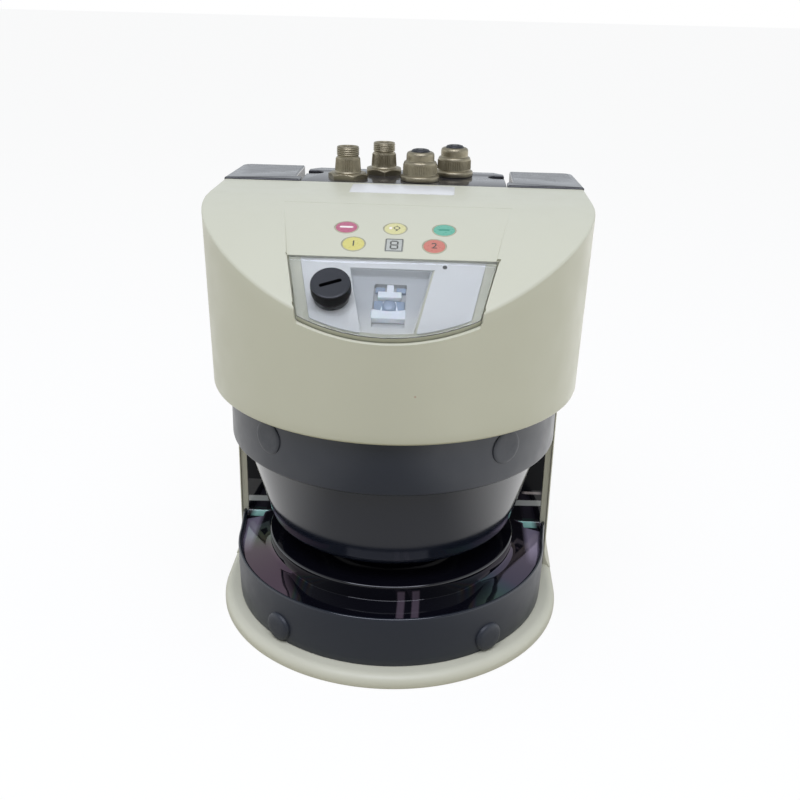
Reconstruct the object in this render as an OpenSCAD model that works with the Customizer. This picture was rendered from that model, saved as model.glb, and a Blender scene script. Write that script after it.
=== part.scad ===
// Compact safety laser scanner: a head over a half-round scan window, carried by a rear column and a base flange.
// Origin at the bottom centre of the base, front towards -Y, up is +Z.

/* [Housing] */
// Width of the head at its top edge
head_w = 140; // [138:0.5:142]
// Depth of the whole device, base front to rear face
depth = 135; // [134:0.5:137]
// Height of the head's flat top above the floor
head_top = 160; // [159:0.5:161]
// Height of the head's lower edge above the floor
head_bottom = 93.8; // [93.4:0.1:94.2]
// Wall thickness of the moulded housings
wall = 3; // [2.6:0.1:3.4]

/* [Scan window] */
// Outer radius of the two dark rings
ring_r = 61.5; // [61:0.1:61.8]
// Height of the shallow floor around the pedestal
scan_floor = 24.5; // [24:0.1:25]
// Underside of the upper ring
ring_under = 73.7; // [73:0.1:74.4]
// Radius of the pedestal under the bowl
pedestal_r = 48.65; // [48:0.05:49.5]

/* [Front panel] */
// Slope of the clear panel from the horizontal, in degrees
panel_tilt = 35; // [34:0.5:36]
// Offset of the clear panel from the middle
panel_x = 0.5; // [-1:0.1:1]
// Thickness of the clear panel window
window_t = 2.6; // [2.2:0.1:2.8]
// Diameter of the screw cap over the service socket
cap_d = 12.9; // [11.6:0.1:13.4]
// Turn of the coin slot from straight across, in degrees
slot_turn = 22; // [0:1:45]

/* [Connectors] */
// Distance between the two connectors of one row
connector_pitch = 28.6; // [28:0.1:30]
// Outer radius of the thread on a male connector
male_r = 4.35; // [4.2:0.05:4.5]
// Outer radius of the upper barrel on a female connector
female_r = 5.55; // [5.3:0.05:5.8]

/* [Mirror drive] */
// Radius of the rotating mirror, seen from above
mirror_r = 17.5; // [16:0.5:18]
// Height of the scan plane above the floor
scan_z = 56; // [55:0.5:57]
// Radius of the motor shaft
shaft_r = 2.5; // [2:0.1:3]

/* [Mounting] */
// Spacing of the rear threaded inserts across the device
mount_x = 100; // [90:1:104]
// Spacing of the rear threaded inserts up the column
mount_z = 60; // [50:1:64]

/* [Hidden] */
$fn = 96;
far = 200;              // larger than the device, for cutting half-spaces
gap = 0.05;             // running and seating clearance, per side

// Housing
rear_y = depth / 2;
head_r = head_w / 2;                    // at head_top
draft = 0.024;                          // growth of the half-width per mm of height
head_cy = head_r - rear_y + 0.5;        // centre of the head's round front
edge_r = 1.2;                           // rounding of the head's lower edge
crown_r = 119;                          // radius of the convex top, about an axis along X
crown_y = 10;                           // where the convex top meets the flat top
crown_z = head_top - crown_r;
tongue_r = 103;                         // radius of the sunk lamp field
tongue_y = -3;                          // where the lamp field leaves the convex top
tongue_in = crown_r - tongue_r;
tongue_a = asin((crown_y - tongue_y) / crown_r);
tongue_cy = crown_y - tongue_in * sin(tongue_a);
tongue_cz = crown_z + tongue_in * cos(tongue_a) - 0.1;
cover_y = 34.2;                         // front edge of the rear cover
cover_z = 148;                          // underside of the rear cover
plate_z = 160;                          // top of the connector plate
plate_w = 40.2;                         // half-width of the connector plate
shelf_z = 150.5;                        // shelf that the connector plate stands on
base_r = rear_y;                        // radius of the base flange
flange_z = 5;                           // top of the base flange
column_x = 63.6;                        // inside half-width of the column

// Scan window
bowl_r = 6;                             // rounding at the bowl's lower edge
bowl_x = 42.4;                          // radius of the centre of that rounding
bowl_z = 37.4;                          // underside of the bowl
bowl_top = ring_r - 4.2;                // bowl radius under the upper ring
bowl_a = 15.9;                          // lean of the bowl's side
wall_half = 61.1;                       // half-width of the wall behind the bowl
neck_r = 30;
screen_t = 2.5;                         // wall of the scan window moulding
screen_top = 96.5;
screen_y = 16;                          // rear face of the window's back wall
flare_x = 2.8;                          // how far the window's sides widen towards the rear
upper_plug_a = 41.5;
upper_plug_z = 86.5;
lower_plug_a = 39;
lower_plug_z = 10.8;
plug_r = 5.65;

// Front panel
panel_y = -39.4;
panel_z = 149.35;
cap_x = -18;
cap_s = 15.8;                           // distance of the cap down the panel's slope
cap_h = 5.4;
thread_r = 3.95;
socket_r = 5.75;

// Lamp field: x, y, radius of each lamp
lamp_row_1 = -22.75;
lamp_row_2 = -32;
lamp_r = 4;
lamp_len = 3.2;

// Connectors
front_row_y = 44;
rear_row_y = 58;
front_row_x = -22.4;
rear_row_x = -9;
neck_bore = 5.05;

// Inside
chassis_z = 97.5;
chassis_t = 3;
deck_z = chassis_z + chassis_t;
board_t = 1.6;
main_z = 124;
barrel_r = 22.5;
lens_r = 20;
laser_z = 106;
laser_r = 6;
motor_top = 37;
pillar_xy = [[-45, -20], [45, -20], [-45, 40], [45, 40]];
power_y = 46;
power_xz = [[-38, 24], [38, 24], [-38, 76], [38, 76]];
head_screw_xy = [[-56, 24], [56, 24], [-56, 58], [56, 58]];
bottom_screw_xy = [[-40, -30], [40, -30], [-50, 50], [50, 50]];
mount_c = 50;
mount_xz = [for (x = [-1, 1], z = [-1, 1]) [x * mount_x / 2, mount_c + z * mount_z / 2]];

cream = "#cfcdbd";
dark = "#363a43";
black = "#22242a";
metal = "#8f8673";

// Points of an arc from angle a0 to a1 about a centre
function arc(cx, cy, r, a0, a1, n = 8) = [for (i = [0:n]) let (a = a0 + (a1 - a0) * i / n) [cx + r * cos(a), cy + r * sin(a)]];
function head_x(z) = head_r - (head_top - z) * draft;

// Solid with a half-round front and a straight rear part; pts is its half section as [radius, height]
module d_solid(pts, cy, y1) {
    translate([0, cy, 0]) rotate_extrude() polygon(pts);
    n = len(pts);
    other = [for (i = [n - 1:-1:0]) if (pts[i][0] > 0) [-pts[i][0], pts[i][1]]];
    translate([0, y1, 0]) rotate([90, 0, 0]) linear_extrude(y1 - cy) polygon(concat(pts, other));
}

// Box from one corner to the other
module block(a, b) {
    translate(a) cube(b - a);
}

module tube(r1, r2, h) {
    difference() {
        cylinder(r = r2, h = h);
        translate([0, 0, -1]) cylinder(r = r1, h = h + 2);
    }
}

// Moves its children to a place on the sloping panel: x across, s down the slope, n out of it
module on_panel(x = 0, s = 0, n = 0) {
    translate([0, panel_y, panel_z]) rotate([panel_tilt, 0, 0]) translate([x, -s, n]) children();
}

// Moves its children to the surface of the lamp field, with +Z out of it
module on_tongue(x, y) {
    a = asin((tongue_cy - y) / tongue_r);
    translate([x, tongue_cy, tongue_cz]) rotate([a, 0, 0]) translate([0, 0, tongue_r]) children();
}

// Moves its children to radius r on the rings, with +Z pointing outwards, at angle a from the front
module on_ring(a, z, r) {
    rotate([0, 0, a - 90]) translate([r, 0, z]) rotate([0, 90, 0]) children();
}

module mirrored() {
    children();
    mirror([1, 0, 0]) children();
}

// ---- Housing ----

// Plan of the head's rear part: the sides draw in a little towards the rear
module rear_plan(inset = 0) {
    x1 = head_r - inset;
    x2 = head_r - 1.6 - inset;
    y2 = rear_y - inset;
    polygon([[-far, -far], [far, -far], [far, 30], [x1, cover_y], [x2, y2 - 4], [x2 - 3.4, y2],
        [3.4 - x2, y2], [-x2, y2 - 4], [-x1, cover_y], [-far, 30]]);
}

module head_solid(inset, z0, r_edge) {
    a = head_x(z0 + r_edge) - inset;
    pts = concat([[0, z0]], arc(a - r_edge, z0 + r_edge, r_edge, -90, 0, 3),
        [[head_x(head_top + 4) - inset, head_top + 4], [0, head_top + 4]]);
    intersection() {
        d_solid(pts, head_cy, rear_y + 5);
        linear_extrude(far) rear_plan(inset);
        translate([-far, 0, 0]) rotate([90, 0, 90]) linear_extrude(2 * far) side_profile(crown_r - inset);
    }
}

// Side view of the head's top: convex at the front, flat from crown_y to the rear
module side_profile(r) {
    polygon(concat([[-far, -1], [rear_y + 10, -1], [rear_y + 10, crown_z + r]], arc(crown_y, crown_z, r, 90, 138, 32), [[-far, crown_z]]));
}

// Outline of the panel recess and of the parts in it, in the panel's own plane
module panel_outline(grow) {
    translate([panel_x, 0])
        polygon([[-34.3 - grow, 0.4 + grow], [34.3 + grow, 0.4 + grow], [26.7 + grow, -35], [-26.7 - grow, -35]]);
}

// Keeps what lies within a given distance of the head's front wall
module behind_wall(inset) {
    intersection() {
        children();
        translate([0, head_cy, 100]) cylinder(r = head_x(130) - inset, h = 80, $fn = 180);
    }
}

module sensor_opening(grow) {
    polygon([[-13.5 - grow, -3.5 + grow], [13.5 + grow, -3.5 + grow], [8.2 + grow, -31], [-8.2 - grow, -31]]);
}

module tongue_cut() {
    difference() {
        translate([0, 0, 140]) linear_extrude(30)
            polygon([[-40.6, tongue_y], [-34.2, -38.6], [-33.6, -42], [33.6, -42], [34.2, -38.6], [40.6, tongue_y]]);
        translate([0, tongue_cy, tongue_cz]) rotate([0, 90, 0]) cylinder(r = tongue_r, h = far, center = true, $fn = 180);
    }
}

// Plan of the scan window: round at the front, its sides widening towards the rear wall
module screen_plan(grow, y1) {
    circle(r = ring_r + grow, $fn = 180);
    screen_sides(grow, y1);
}

module screen_sides(grow, y1) {
    w = ring_r - 0.9 + grow;
    x1 = w + flare_x * (y1 + 10) / (screen_y + 10);
    polygon([[-w, -10], [w, -10], [x1, y1], [-x1, y1]]);
}

module head_cover() {
    color(cream) difference() {
        head_solid(0, head_bottom, edge_r);
        difference() {
            head_solid(wall, chassis_z, 0.8);
            on_panel() translate([-37.5, -40, -6.1]) cube([75, 44, 40]);
            mirrored() block([19, -14, main_z + 19.6], [24, -9, head_top]);
        }
        block([-far, cover_y - 0.1, cover_z], [far, far, far]);
        behind_wall(0.9) on_panel(n = -3.1) linear_extrude(30) panel_outline(0.35);
        on_panel(n = -2.0) linear_extrude(30) panel_outline(0.35);
        behind_wall(3.4) on_panel(n = -7) linear_extrude(7) sensor_opening(0.1);
        on_panel(cap_x, cap_s, -8) cylinder(r = socket_r + 0.1, h = 10);
        tongue_cut();
        lamps(0.05, 8);
        on_tongue(0.5, lamp_row_2) translate([-3.15, -3.65, -8]) cube([6.3, 7.3, 10]);
        translate([0, 0, head_bottom - 1]) linear_extrude(10) screen_plan(0.4, screen_y + 0.2);
        block([-50, screen_y + 4, head_bottom - 1], [50, 60, chassis_z + 1]);
        for (p = head_screw_xy) translate([p[0], p[1], head_bottom - 1]) cylinder(r = 2.1, h = 10);
    }
}

module head_screws() {
    color(metal) for (p = head_screw_xy) translate([p[0], p[1], 0]) {
        translate([0, 0, 82]) cylinder(r = 2, h = chassis_z - 82);
        translate([0, 0, chassis_z]) difference() {
            cylinder(r = 3.5, h = 3);
            translate([0, 0, 1.2]) cylinder(r = 1.7, h = 3, $fn = 6);
        }
    }
}

module column_plan() {
    polygon([[-64.4, screen_y - 1.6], [64.4, screen_y - 1.6], [66.6, cover_y], [base_r, 46], [base_r, rear_y - 4],
        [base_r - 3.6, rear_y], [3.6 - base_r, rear_y], [-base_r, rear_y - 4], [-base_r, 46], [-66.6, cover_y]]);
}

module base_frame() {
    color(cream) difference() {
        union() {
            intersection() {
                d_solid(concat([[0, 0], [base_r - 0.6, 0]], arc(base_r - 4.4, 0.8, 4.4, 0, 72, 5),
                    [[ring_r - 1, flange_z], [0, flange_z]]), 0, rear_y);
                linear_extrude(far) polygon([[-far, -far], [far, -far], [far, rear_y - 4], [base_r, rear_y - 4],
                    [base_r - 3.6, rear_y], [3.6 - base_r, rear_y], [-base_r, rear_y - 4], [-far, rear_y - 4]]);
            }
            difference() {
                linear_extrude(head_bottom) column_plan();
                block([-column_x, -far, flange_z], [column_x, rear_y - wall, far]);
            }
            for (p = mount_xz) translate([p[0], 53, p[1]]) rotate([-90, 0, 0]) cylinder(r = 6, h = 12);
            for (p = power_xz) translate([p[0], power_y + board_t, p[1]]) rotate([-90, 0, 0]) cylinder(r = 3, h = 17);
            for (p = head_screw_xy) block([min(p[0] - 5, sign(p[0]) * 64), p[1] - 5, 70], [max(p[0] + 5, sign(p[0]) * 64), p[1] + 5, head_bottom]);
            for (p = bottom_screw_xy) translate([p[0], p[1], 4]) cylinder(r = 4, h = 6);
            mirrored() on_post() block([-5, 50.5, 4], [5, 57.6, 16]);
            mirrored() block([wall_half + 0.1, screen_y - 0.9, scan_floor + 0.8], [column_x + 0.2, screen_y + 0.7, ring_under - 0.1]);
        }
        translate([0, 0, -1]) linear_extrude(3.5) bottom_plan(0.3);
        for (p = mount_xz) translate([p[0], rear_y + 1, p[1]]) rotate([90, 0, 0]) cylinder(r = 3.5, h = 13);
        for (p = power_xz) translate([p[0], power_y, p[1]]) rotate([-90, 0, 0]) cylinder(r = 1.55, h = 10);
        for (p = head_screw_xy) translate([p[0], p[1], 80]) cylinder(r = 2.05, h = 20);
        for (p = bottom_screw_xy) translate([p[0], p[1], -1]) cylinder(r = 1.55, h = 10);
        mirrored() on_ring(lower_plug_a, lower_plug_z, 48) cylinder(r = 1.55, h = 12);
        for (a = [90, 210, 330]) rotate([0, 0, a]) translate([22, 0, 2]) cylinder(r = 1.55, h = 5);
    }
}

// Turns its children, drawn towards +Y, to the place behind a lower plug
module on_post() {
    rotate([0, 0, lower_plug_a + 180]) children();
}

module bottom_plan(grow) {
    circle(r = 61.7 + grow);
    translate([-61.7 - grow, 0]) square([2 * (61.7 + grow), 61 + grow]);
}

module bottom_cover() {
    color(black) difference() {
        translate([0, 0, 0.5]) linear_extrude(2) bottom_plan(0);
        for (p = bottom_screw_xy) translate([p[0], p[1], 0]) {
            cylinder(r = 3.1, h = 1.5);
            cylinder(r = 1.6, h = 4);
        }
    }
}

module small_screw(len, head_h = 1.2, head_r = 2.75) {
    translate([0, 0, -len]) cylinder(r = 1.5, h = len);
    difference() {
        cylinder(r = head_r, h = head_h);
        translate([0, 0, 0.4]) cylinder(r = 1.1, h = head_h, $fn = 6);
    }
}

module bottom_screws() {
    color(metal) for (p = bottom_screw_xy) translate([p[0], p[1], 1.5]) mirror([0, 0, 1]) small_screw(7, 1);
}

module mount_inserts() {
    color("#b5a36a") for (p = mount_xz) translate([p[0], rear_y, p[1]]) rotate([90, 0, 0]) difference() {
        cylinder(r = 3.45, h = 11);
        translate([0, 0, -1]) cylinder(r = 2.1, h = 10);
    }
}

// ---- Scan window ----

module window_outside() {
    polygon(concat([[0, flange_z], [ring_r - 0.6, flange_z], [ring_r, scan_floor + 0.1], [ring_r - 0.4, scan_floor + 0.8],
        [ring_r - 1.2, scan_floor + 0.6], [ring_r - 1.7, scan_floor], [pedestal_r, scan_floor]],
        arc(pedestal_r - 0.8, scan_floor + 6.1, 0.8, 0, 90, 3),
        [[neck_r + 1.2, scan_floor + 6.9]], arc(neck_r + 1.2, scan_floor + 8.1, 1.2, 270, 180, 3),
        [[neck_r, bowl_z - 0.6], [neck_r + 0.6, bowl_z]],
        arc(bowl_x, bowl_z + bowl_r, bowl_r, -82, -bowl_a, 12),
        [[bowl_top, ring_under], [ring_r - 0.4, ring_under], [ring_r, ring_under + 0.4], [ring_r, screen_top], [0, screen_top]]));
}

module window_inside() {
    r = bowl_r - screen_t;
    polygon(concat([[0, flange_z - 1], [ring_r - 3.1, flange_z - 1], [ring_r - screen_t, scan_floor - screen_t],
        [pedestal_r - screen_t, scan_floor - screen_t], [pedestal_r - screen_t, scan_floor + 4.4],
        [neck_r - screen_t, scan_floor + 4.4], [neck_r - screen_t, bowl_z + screen_t]],
        arc(bowl_x, bowl_z + bowl_r, r, -86, -bowl_a, 10),
        [[bowl_top - screen_t, ring_under], [bowl_top - screen_t, ring_under + screen_t],
        [ring_r - screen_t, ring_under + screen_t], [ring_r - screen_t, far], [0, far]]));
}

module optics_cover() {
    color(dark) difference() {
        union() {
            intersection() {
                rotate_extrude($fn = 180) window_outside();
                block([-far, -far, 0], [far, screen_y, far]);
            }
            translate([0, 0, flange_z]) linear_extrude(scan_floor - flange_z) screen_sides(0, screen_y);
            translate([0, 0, scan_floor]) linear_extrude(0.7) difference() {
                screen_sides(-0.2, screen_y);
                screen_sides(-1.4, screen_y + 1);
            }
            translate([0, 0, ring_under]) linear_extrude(screen_top - ring_under) screen_sides(0, screen_y);
            block([-wall_half, screen_y - screen_t, flange_z], [wall_half, screen_y, screen_top]);
        }
        rotate_extrude($fn = 180) window_inside();
        translate([0, 0, flange_z - 1]) linear_extrude(scan_floor - screen_t - flange_z + 1) screen_sides(-screen_t, screen_y - screen_t);
        translate([0, 0, ring_under + screen_t]) linear_extrude(far) screen_sides(-screen_t, screen_y - screen_t);
        mirrored() {
            plug_seat(upper_plug_a, upper_plug_z);
            plug_seat(lower_plug_a, lower_plug_z);
        }
    }
}

module plug_seat(a, z) {
    on_ring(a, z, ring_r - 1.7) cylinder(r = plug_r + 0.1, h = 6);
    on_ring(a, z, ring_r - 6) cylinder(r = 1.6, h = 12);
}

module plug(a, z, proud) {
    color(dark) on_ring(a, z, ring_r - 1.65) difference() {
        union() {
            cylinder(r = plug_r, h = 1.65 + proud - 0.4);
            translate([0, 0, 1.25 + proud]) cylinder(r1 = plug_r, r2 = plug_r - 0.5, h = 0.4);
        }
        translate([0, 0, -1]) cylinder(r = 3, h = 2.3);
    }
}

module upper_plug_left() { plug(-upper_plug_a, upper_plug_z, 0.3); }
module upper_plug_right() { plug(upper_plug_a, upper_plug_z, 0.3); }
module lower_plug_left() { plug(-lower_plug_a, lower_plug_z, 1.2); }
module lower_plug_right() { plug(lower_plug_a, lower_plug_z, 1.2); }

module window_screws() {
    color(metal) mirrored() {
        on_ring(upper_plug_a, upper_plug_z, ring_r - 1.65) small_screw(6);
        on_ring(lower_plug_a, lower_plug_z, ring_r - 1.65) small_screw(6);
    }
}

module optics_seal() {
    color(black) translate([0, 0, screen_top]) linear_extrude(chassis_z - screen_top) difference() {
        circle(r = ring_r - 0.2, $fn = 180);
        circle(r = ring_r - screen_t + 0.2, $fn = 180);
        translate([-far, 4]) square(2 * far);
    }
}

// ---- Rear cover and connectors ----

module rear_cover() {
    color(black) difference() {
        intersection() {
            d_solid([[0, cover_z], [head_x(cover_z), cover_z], [head_x(head_top), head_top + 0.7], [0, head_top + 0.7]], head_cy, rear_y + 5);
            linear_extrude(far) rear_plan();
            block([-far, cover_y, cover_z], [far, far, far]);
        }
        block([-plate_w - 0.3, cover_y - 1, shelf_z], [plate_w + 0.3, far, far]);
        block([-plate_w - 2.6, 41.6, shelf_z], [plate_w + 2.6, far, far]);
        block([-33, cover_y + 6, 0], [33, 62, far]);
        mirrored() {
            block([plate_w + 5, cover_y + 2.5, 0], [head_r - 4.5, rear_y - 5, head_top - 1.8]);
            translate([36.6, 56, 0]) cylinder(r = 2.1, h = far);
        }
    }
}

module connector_plate() {
    color(black) difference() {
        linear_z(shelf_z + 0.05, plate_z) polygon([[-plate_w, cover_y + 0.1], [plate_w, cover_y + 0.1], [plate_w, 63.5],
            [plate_w - 4, rear_y], [4 - plate_w, rear_y], [-plate_w, 63.5]]);
        block([-30.5, cover_y + 2.4, 0], [30.5, rear_y - 2.4, plate_z - wall]);
        mirrored() {
            translate([36.6, 56, 154]) cylinder(r = 3.7, h = 10);
            block([36.6, 56 - 3.7, 154], [50, 56 + 3.7, 170]);
            translate([36.6, 56, 0]) cylinder(r = 2.15, h = far);
        }
        connectors() {
            cylinder(r = neck_bore + 0.1, h = far);
            translate([0, 0, plate_z - 0.8]) cylinder(r = 6.7, h = 4);
        }
    }
}

module linear_z(z0, z1) {
    translate([0, 0, z0]) linear_extrude(z1 - z0) children();
}

module plate_screws() {
    color(black) mirrored() translate([36.6, 56, 154]) {
        translate([0, 0, -8.5]) cylinder(r = 2, h = 8.5);
        difference() {
            cylinder(r = 3.4, h = 2.6);
            translate([0, 0, 1]) cylinder(r = 1.5, h = 3, $fn = 6);
        }
    }
}

function male_xy(i) = i == 1 ? [front_row_x, front_row_y] : [rear_row_x, rear_row_y];
function female_xy(i) = male_xy(i) + [connector_pitch, 0];

module connectors() {
    for (i = [1, 2]) {
        translate(male_xy(i)) children();
        translate(female_xy(i)) children();
    }
}

module male_shell(i) {
    color(metal) translate(concat(male_xy(i), [plate_z])) difference() {
        union() {
            rotate_extrude() polygon([[3.6, -9.5], [neck_bore - 0.05, -9.5], [neck_bore - 0.05, 1], [5, 3.2], [4.6, 8.2],
                [male_r - 0.35, 8.4], [male_r - 0.35, 8.9], [male_r, 9.2], [male_r, 12.1], [male_r - 0.3, 12.4], [3.6, 12.4]]);
            intersection() {
                rotate([0, 0, 30]) cylinder(r = 8.05, h = 3, $fn = 6);
                cylinder(r1 = 9.8, r2 = 6.9, h = 3);
            }
        }
        translate([0, 0, -10]) cylinder(r = 3.6, h = 30);
    }
}

module female_shell(i) {
    color(metal) translate(concat(female_xy(i), [plate_z])) rotate_extrude() polygon([[3.65, -9.5], [neck_bore - 0.05, -9.5],
        [neck_bore - 0.05, 0], [7.1, 0], [7.5, 0.4], [7.5, 2.7], [7.1, 3.2], [6.5, 3.4], [6.8, 4], [6.8, 6.4], [6.3, 7.1],
        [female_r, 7.3], [female_r, 9.8], [female_r - 0.3, 10.4], [female_r - 1, 10.9], [3.65, 10.9]]);
}

module male_shell_1() { male_shell(1); }
module male_shell_2() { male_shell(2); }
module female_shell_1() { female_shell(1); }
module female_shell_2() { female_shell(2); }

module male_insert(i) {
    color(black) translate(concat(male_xy(i), [plate_z - 9])) difference() {
        cylinder(r = 3.55, h = 12);
        pin_places() translate([0, 0, -1]) cylinder(r = 0.5, h = 20, $fn = 16);
    }
}

module female_insert(i) {
    color(black) translate(concat(female_xy(i), [plate_z - 9])) difference() {
        union() {
            cylinder(r = 3.6, h = 21);
            translate([0, 0, 21]) cylinder(r1 = 3.6, r2 = 3.2, h = 0.4);
        }
        pin_places() translate([0, 0, 12]) cylinder(r = 0.55, h = 20, $fn = 16);
    }
}

module pin_places() {
    for (k = [0:3]) rotate([0, 0, 45 + 90 * k]) translate([1.9, 0, 0]) children();
}

module male_insert_1() { male_insert(1); }
module male_insert_2() { male_insert(2); }
module female_insert_1() { female_insert(1); }
module female_insert_2() { female_insert(2); }

module contact_pins() {
    color("gold") for (i = [1, 2]) translate(concat(male_xy(i), [plate_z - 10])) pin_places() cylinder(r = 0.48, h = 17.5, $fn = 16);
}

module lock_nuts() {
    color(metal) connectors() translate([0, 0, plate_z - wall - 2.5]) difference() {
        cylinder(r = 7.4, h = 2.45, $fn = 6);
        translate([0, 0, -1]) cylinder(r = neck_bore, h = 5);
    }
}

module connector_seals() {
    color(black) connectors() translate([0, 0, plate_z - 0.78]) tube(neck_bore + 0.05, 6.6, 0.76);
}

module blank_label() {
    color("white") block([-19, 14, head_top], [20, 31, head_top + 0.15]);
}

// ---- Front panel ----

module panel_window() {
    color("#c8ccd0", 0.4) difference() {
        behind_wall(1.25) on_panel(n = -window_t) linear_extrude(window_t) panel_outline(0);
        on_panel(cap_x, cap_s, -5) cylinder(r = socket_r + 0.1, h = 10);
    }
}

module panel_sheet() {
    color("#d5d8dc") difference() {
        behind_wall(4) on_panel(n = -window_t - 0.45) linear_extrude(0.4) translate([panel_x, 0]) polygon([[-30, 0], [30, 0], [23.4, -33], [-23.4, -33]]);
        on_panel(n = -5) linear_extrude(5) polygon([[-13.6, -3.6], [13.6, -3.6], [7.4, -36], [-7.4, -36]]);
        on_panel(cap_x, cap_s, -5) cylinder(r = socket_r + 0.1, h = 10);
    }
}

module sensor_tray() {
    color("#c9cdd3") difference() {
        behind_wall(4) on_panel(n = -9.5) linear_extrude(6.4) sensor_opening(0);
        behind_wall(5) on_panel(n = -8.5) linear_extrude(8) sensor_opening(-1);
    }
}

module sensor_lens() {
    color("#9fb3cc", 0.6) on_panel(0.3, 11.5, -8.5) {
        translate([-6, -4.4, 0]) cube([12, 9.8, 1.2]);
        translate([0, 0, 1.2]) cylinder(r1 = 3.2, r2 = 2.6, h = 1);
    }
}

module light_bars() {
    color("white") on_panel(0.2, 1.7, 0) {
        translate([-4.6, -10.4, -6.1]) cube([9.2, 2.6, 1.6]);
        translate([-4.6, -10.4, -7.3]) cube([1.2, 2.6, 1.3]);
        difference() {
            translate([-6.7, -19.1, -8.5]) cube([13.4, 4.6, 4]);
            translate([0, -4.4, -9]) cylinder(r = 11, h = 8);
        }
    }
}

module service_socket() {
    color(black) on_panel(cap_x, cap_s, -12) tube(thread_r + gap, socket_r, 12);
}

module cap_seal() {
    color(black) on_panel(cap_x, cap_s, 0.02) tube(thread_r + 0.1, 5.6, 0.98);
}

module service_cap() {
    color(black) on_panel(cap_x, cap_s, 0) difference() {
        union() {
            translate([0, 0, -8]) cylinder(r = thread_r, h = 10);
            translate([0, 0, 1.02]) cylinder(r = cap_d / 2, h = cap_h - 1.42);
            translate([0, 0, cap_h - 0.4]) cylinder(r1 = cap_d / 2, r2 = cap_d / 2 - 0.4, h = 0.4);
        }
        rotate([0, 0, slot_turn]) translate([-3.8, -0.8, cap_h - 1.5]) cube([7.6, 1.6, 3]);
    }
}

module lamp(x, y, grow, len) {
    on_tongue(x, y) translate([0, 0, -len]) cylinder(r = lamp_r + grow, h = len + (grow > 0 ? 2 : 0.1));
}

module lamps(grow, len) {
    for (x = [-16.2, 0.3, 16.8]) lamp(x, lamp_row_1, grow, len);
    for (x = [-13, 13.8]) lamp(x, lamp_row_2, grow, len);
}

module lamp_red() { color("#b5607a") lamp(-16.2, lamp_row_1, 0, lamp_len); }
module lamp_pale() { color("#e0dc9a") lamp(0.3, lamp_row_1, 0, lamp_len); }
module lamp_green() { color("#6fb8a0") lamp(16.8, lamp_row_1, 0, lamp_len); }
module lamp_amber() { color("#e6dc7c") lamp(-13, lamp_row_2, 0, lamp_len); }
module lamp_orange() { color("#de8478") lamp(13.8, lamp_row_2, 0, lamp_len); }
module display_window() {
    color("#8d8f90") on_tongue(0.5, lamp_row_2) translate([-3.1, -3.6, -lamp_len]) cube([6.2, 7.2, lamp_len + 0.1]);
}

module display_board() {
    color("seagreen") block([-26, -32, main_z + 18], [26, -6, main_z + 18 + board_t]);
}

// ---- Inside the head ----

module chassis_plate() {
    color("silver") difference() {
        union() {
            linear_z(chassis_z, deck_z) intersection() {
                union() {
                    translate([0, head_cy]) circle(r = 65);
                    translate([-65, head_cy]) square([130, 60]);
                }
                polygon([[-70, -70], [70, -70], [70, 60.2], [64.8, 60.2], [61.8, 63.5],
                    [-61.8, 63.5], [-64.8, 60.2], [-70, 60.2]]);
            }
            mirrored() rotate([0, 0, upper_plug_a + 180]) block([-4, 52, 80], [4, 58, chassis_z + 1]);
            block([-8.5, 28, deck_z - 1], [8.5, 44, laser_z - 0.7]);
        }
        translate([0, 0, chassis_z - 1]) cylinder(r = barrel_r + 0.3, h = 10);
        translate([0, 60, laser_z]) rotate([90, 0, 0]) cylinder(r = laser_r + gap, h = 40);
        mirrored() on_ring(upper_plug_a, upper_plug_z, 48) cylinder(r = 1.55, h = 14);
        for (p = head_screw_xy) translate([p[0], p[1], chassis_z - 1]) cylinder(r = 4, h = 10);
        for (p = pillar_xy) translate([p[0], p[1], chassis_z - 1]) cylinder(r = 1.55, h = 10);
    }
}

module board_pillars() {
    color(metal) for (p = pillar_xy) translate([p[0], p[1], deck_z]) {
        difference() {
            cylinder(r = 3, h = main_z - deck_z, $fn = 6);
            translate([0, 0, main_z - deck_z - 8]) cylinder(r = 1.55, h = 10);
        }
        translate([0, 0, -2.9]) cylinder(r = 1.5, h = 3);
    }
}

module main_board() {
    color("seagreen") difference() {
        linear_z(main_z, main_z + board_t) intersection() {
            circle(r = 54);
            translate([-54, -46]) square([108, 97]);
        }
        for (p = pillar_xy) translate([p[0], p[1], main_z - 1]) cylinder(r = 1.6, h = 4);
    }
}

module board_screws() {
    color(metal) {
        for (p = pillar_xy) translate([p[0], p[1], main_z + board_t]) small_screw(6, 1.6);
        for (p = power_xz) translate([p[0], power_y, p[1]]) rotate([90, 0, 0]) small_screw(6, 1.6);
    }
}

module power_board() {
    color("seagreen") difference() {
        block([-48, power_y, 14], [48, power_y + board_t, 86]);
        for (p = power_xz) translate([p[0], power_y - 1, p[1]]) rotate([-90, 0, 0]) cylinder(r = 1.6, h = 4);
    }
}

module optics_barrel() {
    color(black) difference() {
        union() {
            translate([0, 0, 76]) cylinder(r = barrel_r, h = 42);
            translate([0, 0, deck_z]) cylinder(r = 27, h = 2);
        }
        translate([0, 0, 75]) cylinder(r = lens_r - 1.2, h = 60);
        translate([0, 0, 77]) cylinder(r = lens_r + gap, h = 60);
        translate([0, 0, laser_z]) rotate([-90, 0, 0]) cylinder(r = 4.5, h = 40);
        translate([0, barrel_r + 0.2, laser_z]) rotate([-90, 0, 0]) cylinder(r = laser_r + gap, h = 10);
    }
}

module receiver_lens() {
    color("#c4d6de", 0.6) translate([0, 0, 77]) difference() {
        union() {
            cylinder(r = lens_r, h = 3);
            translate([0, 0, 3]) cylinder(r1 = lens_r - 0.4, r2 = 15, h = 2);
            translate([0, 0, 5]) cylinder(r1 = 15, r2 = 8, h = 1);
        }
        translate([0, 0, -1]) cylinder(r = 4, h = 10);
    }
}

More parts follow.
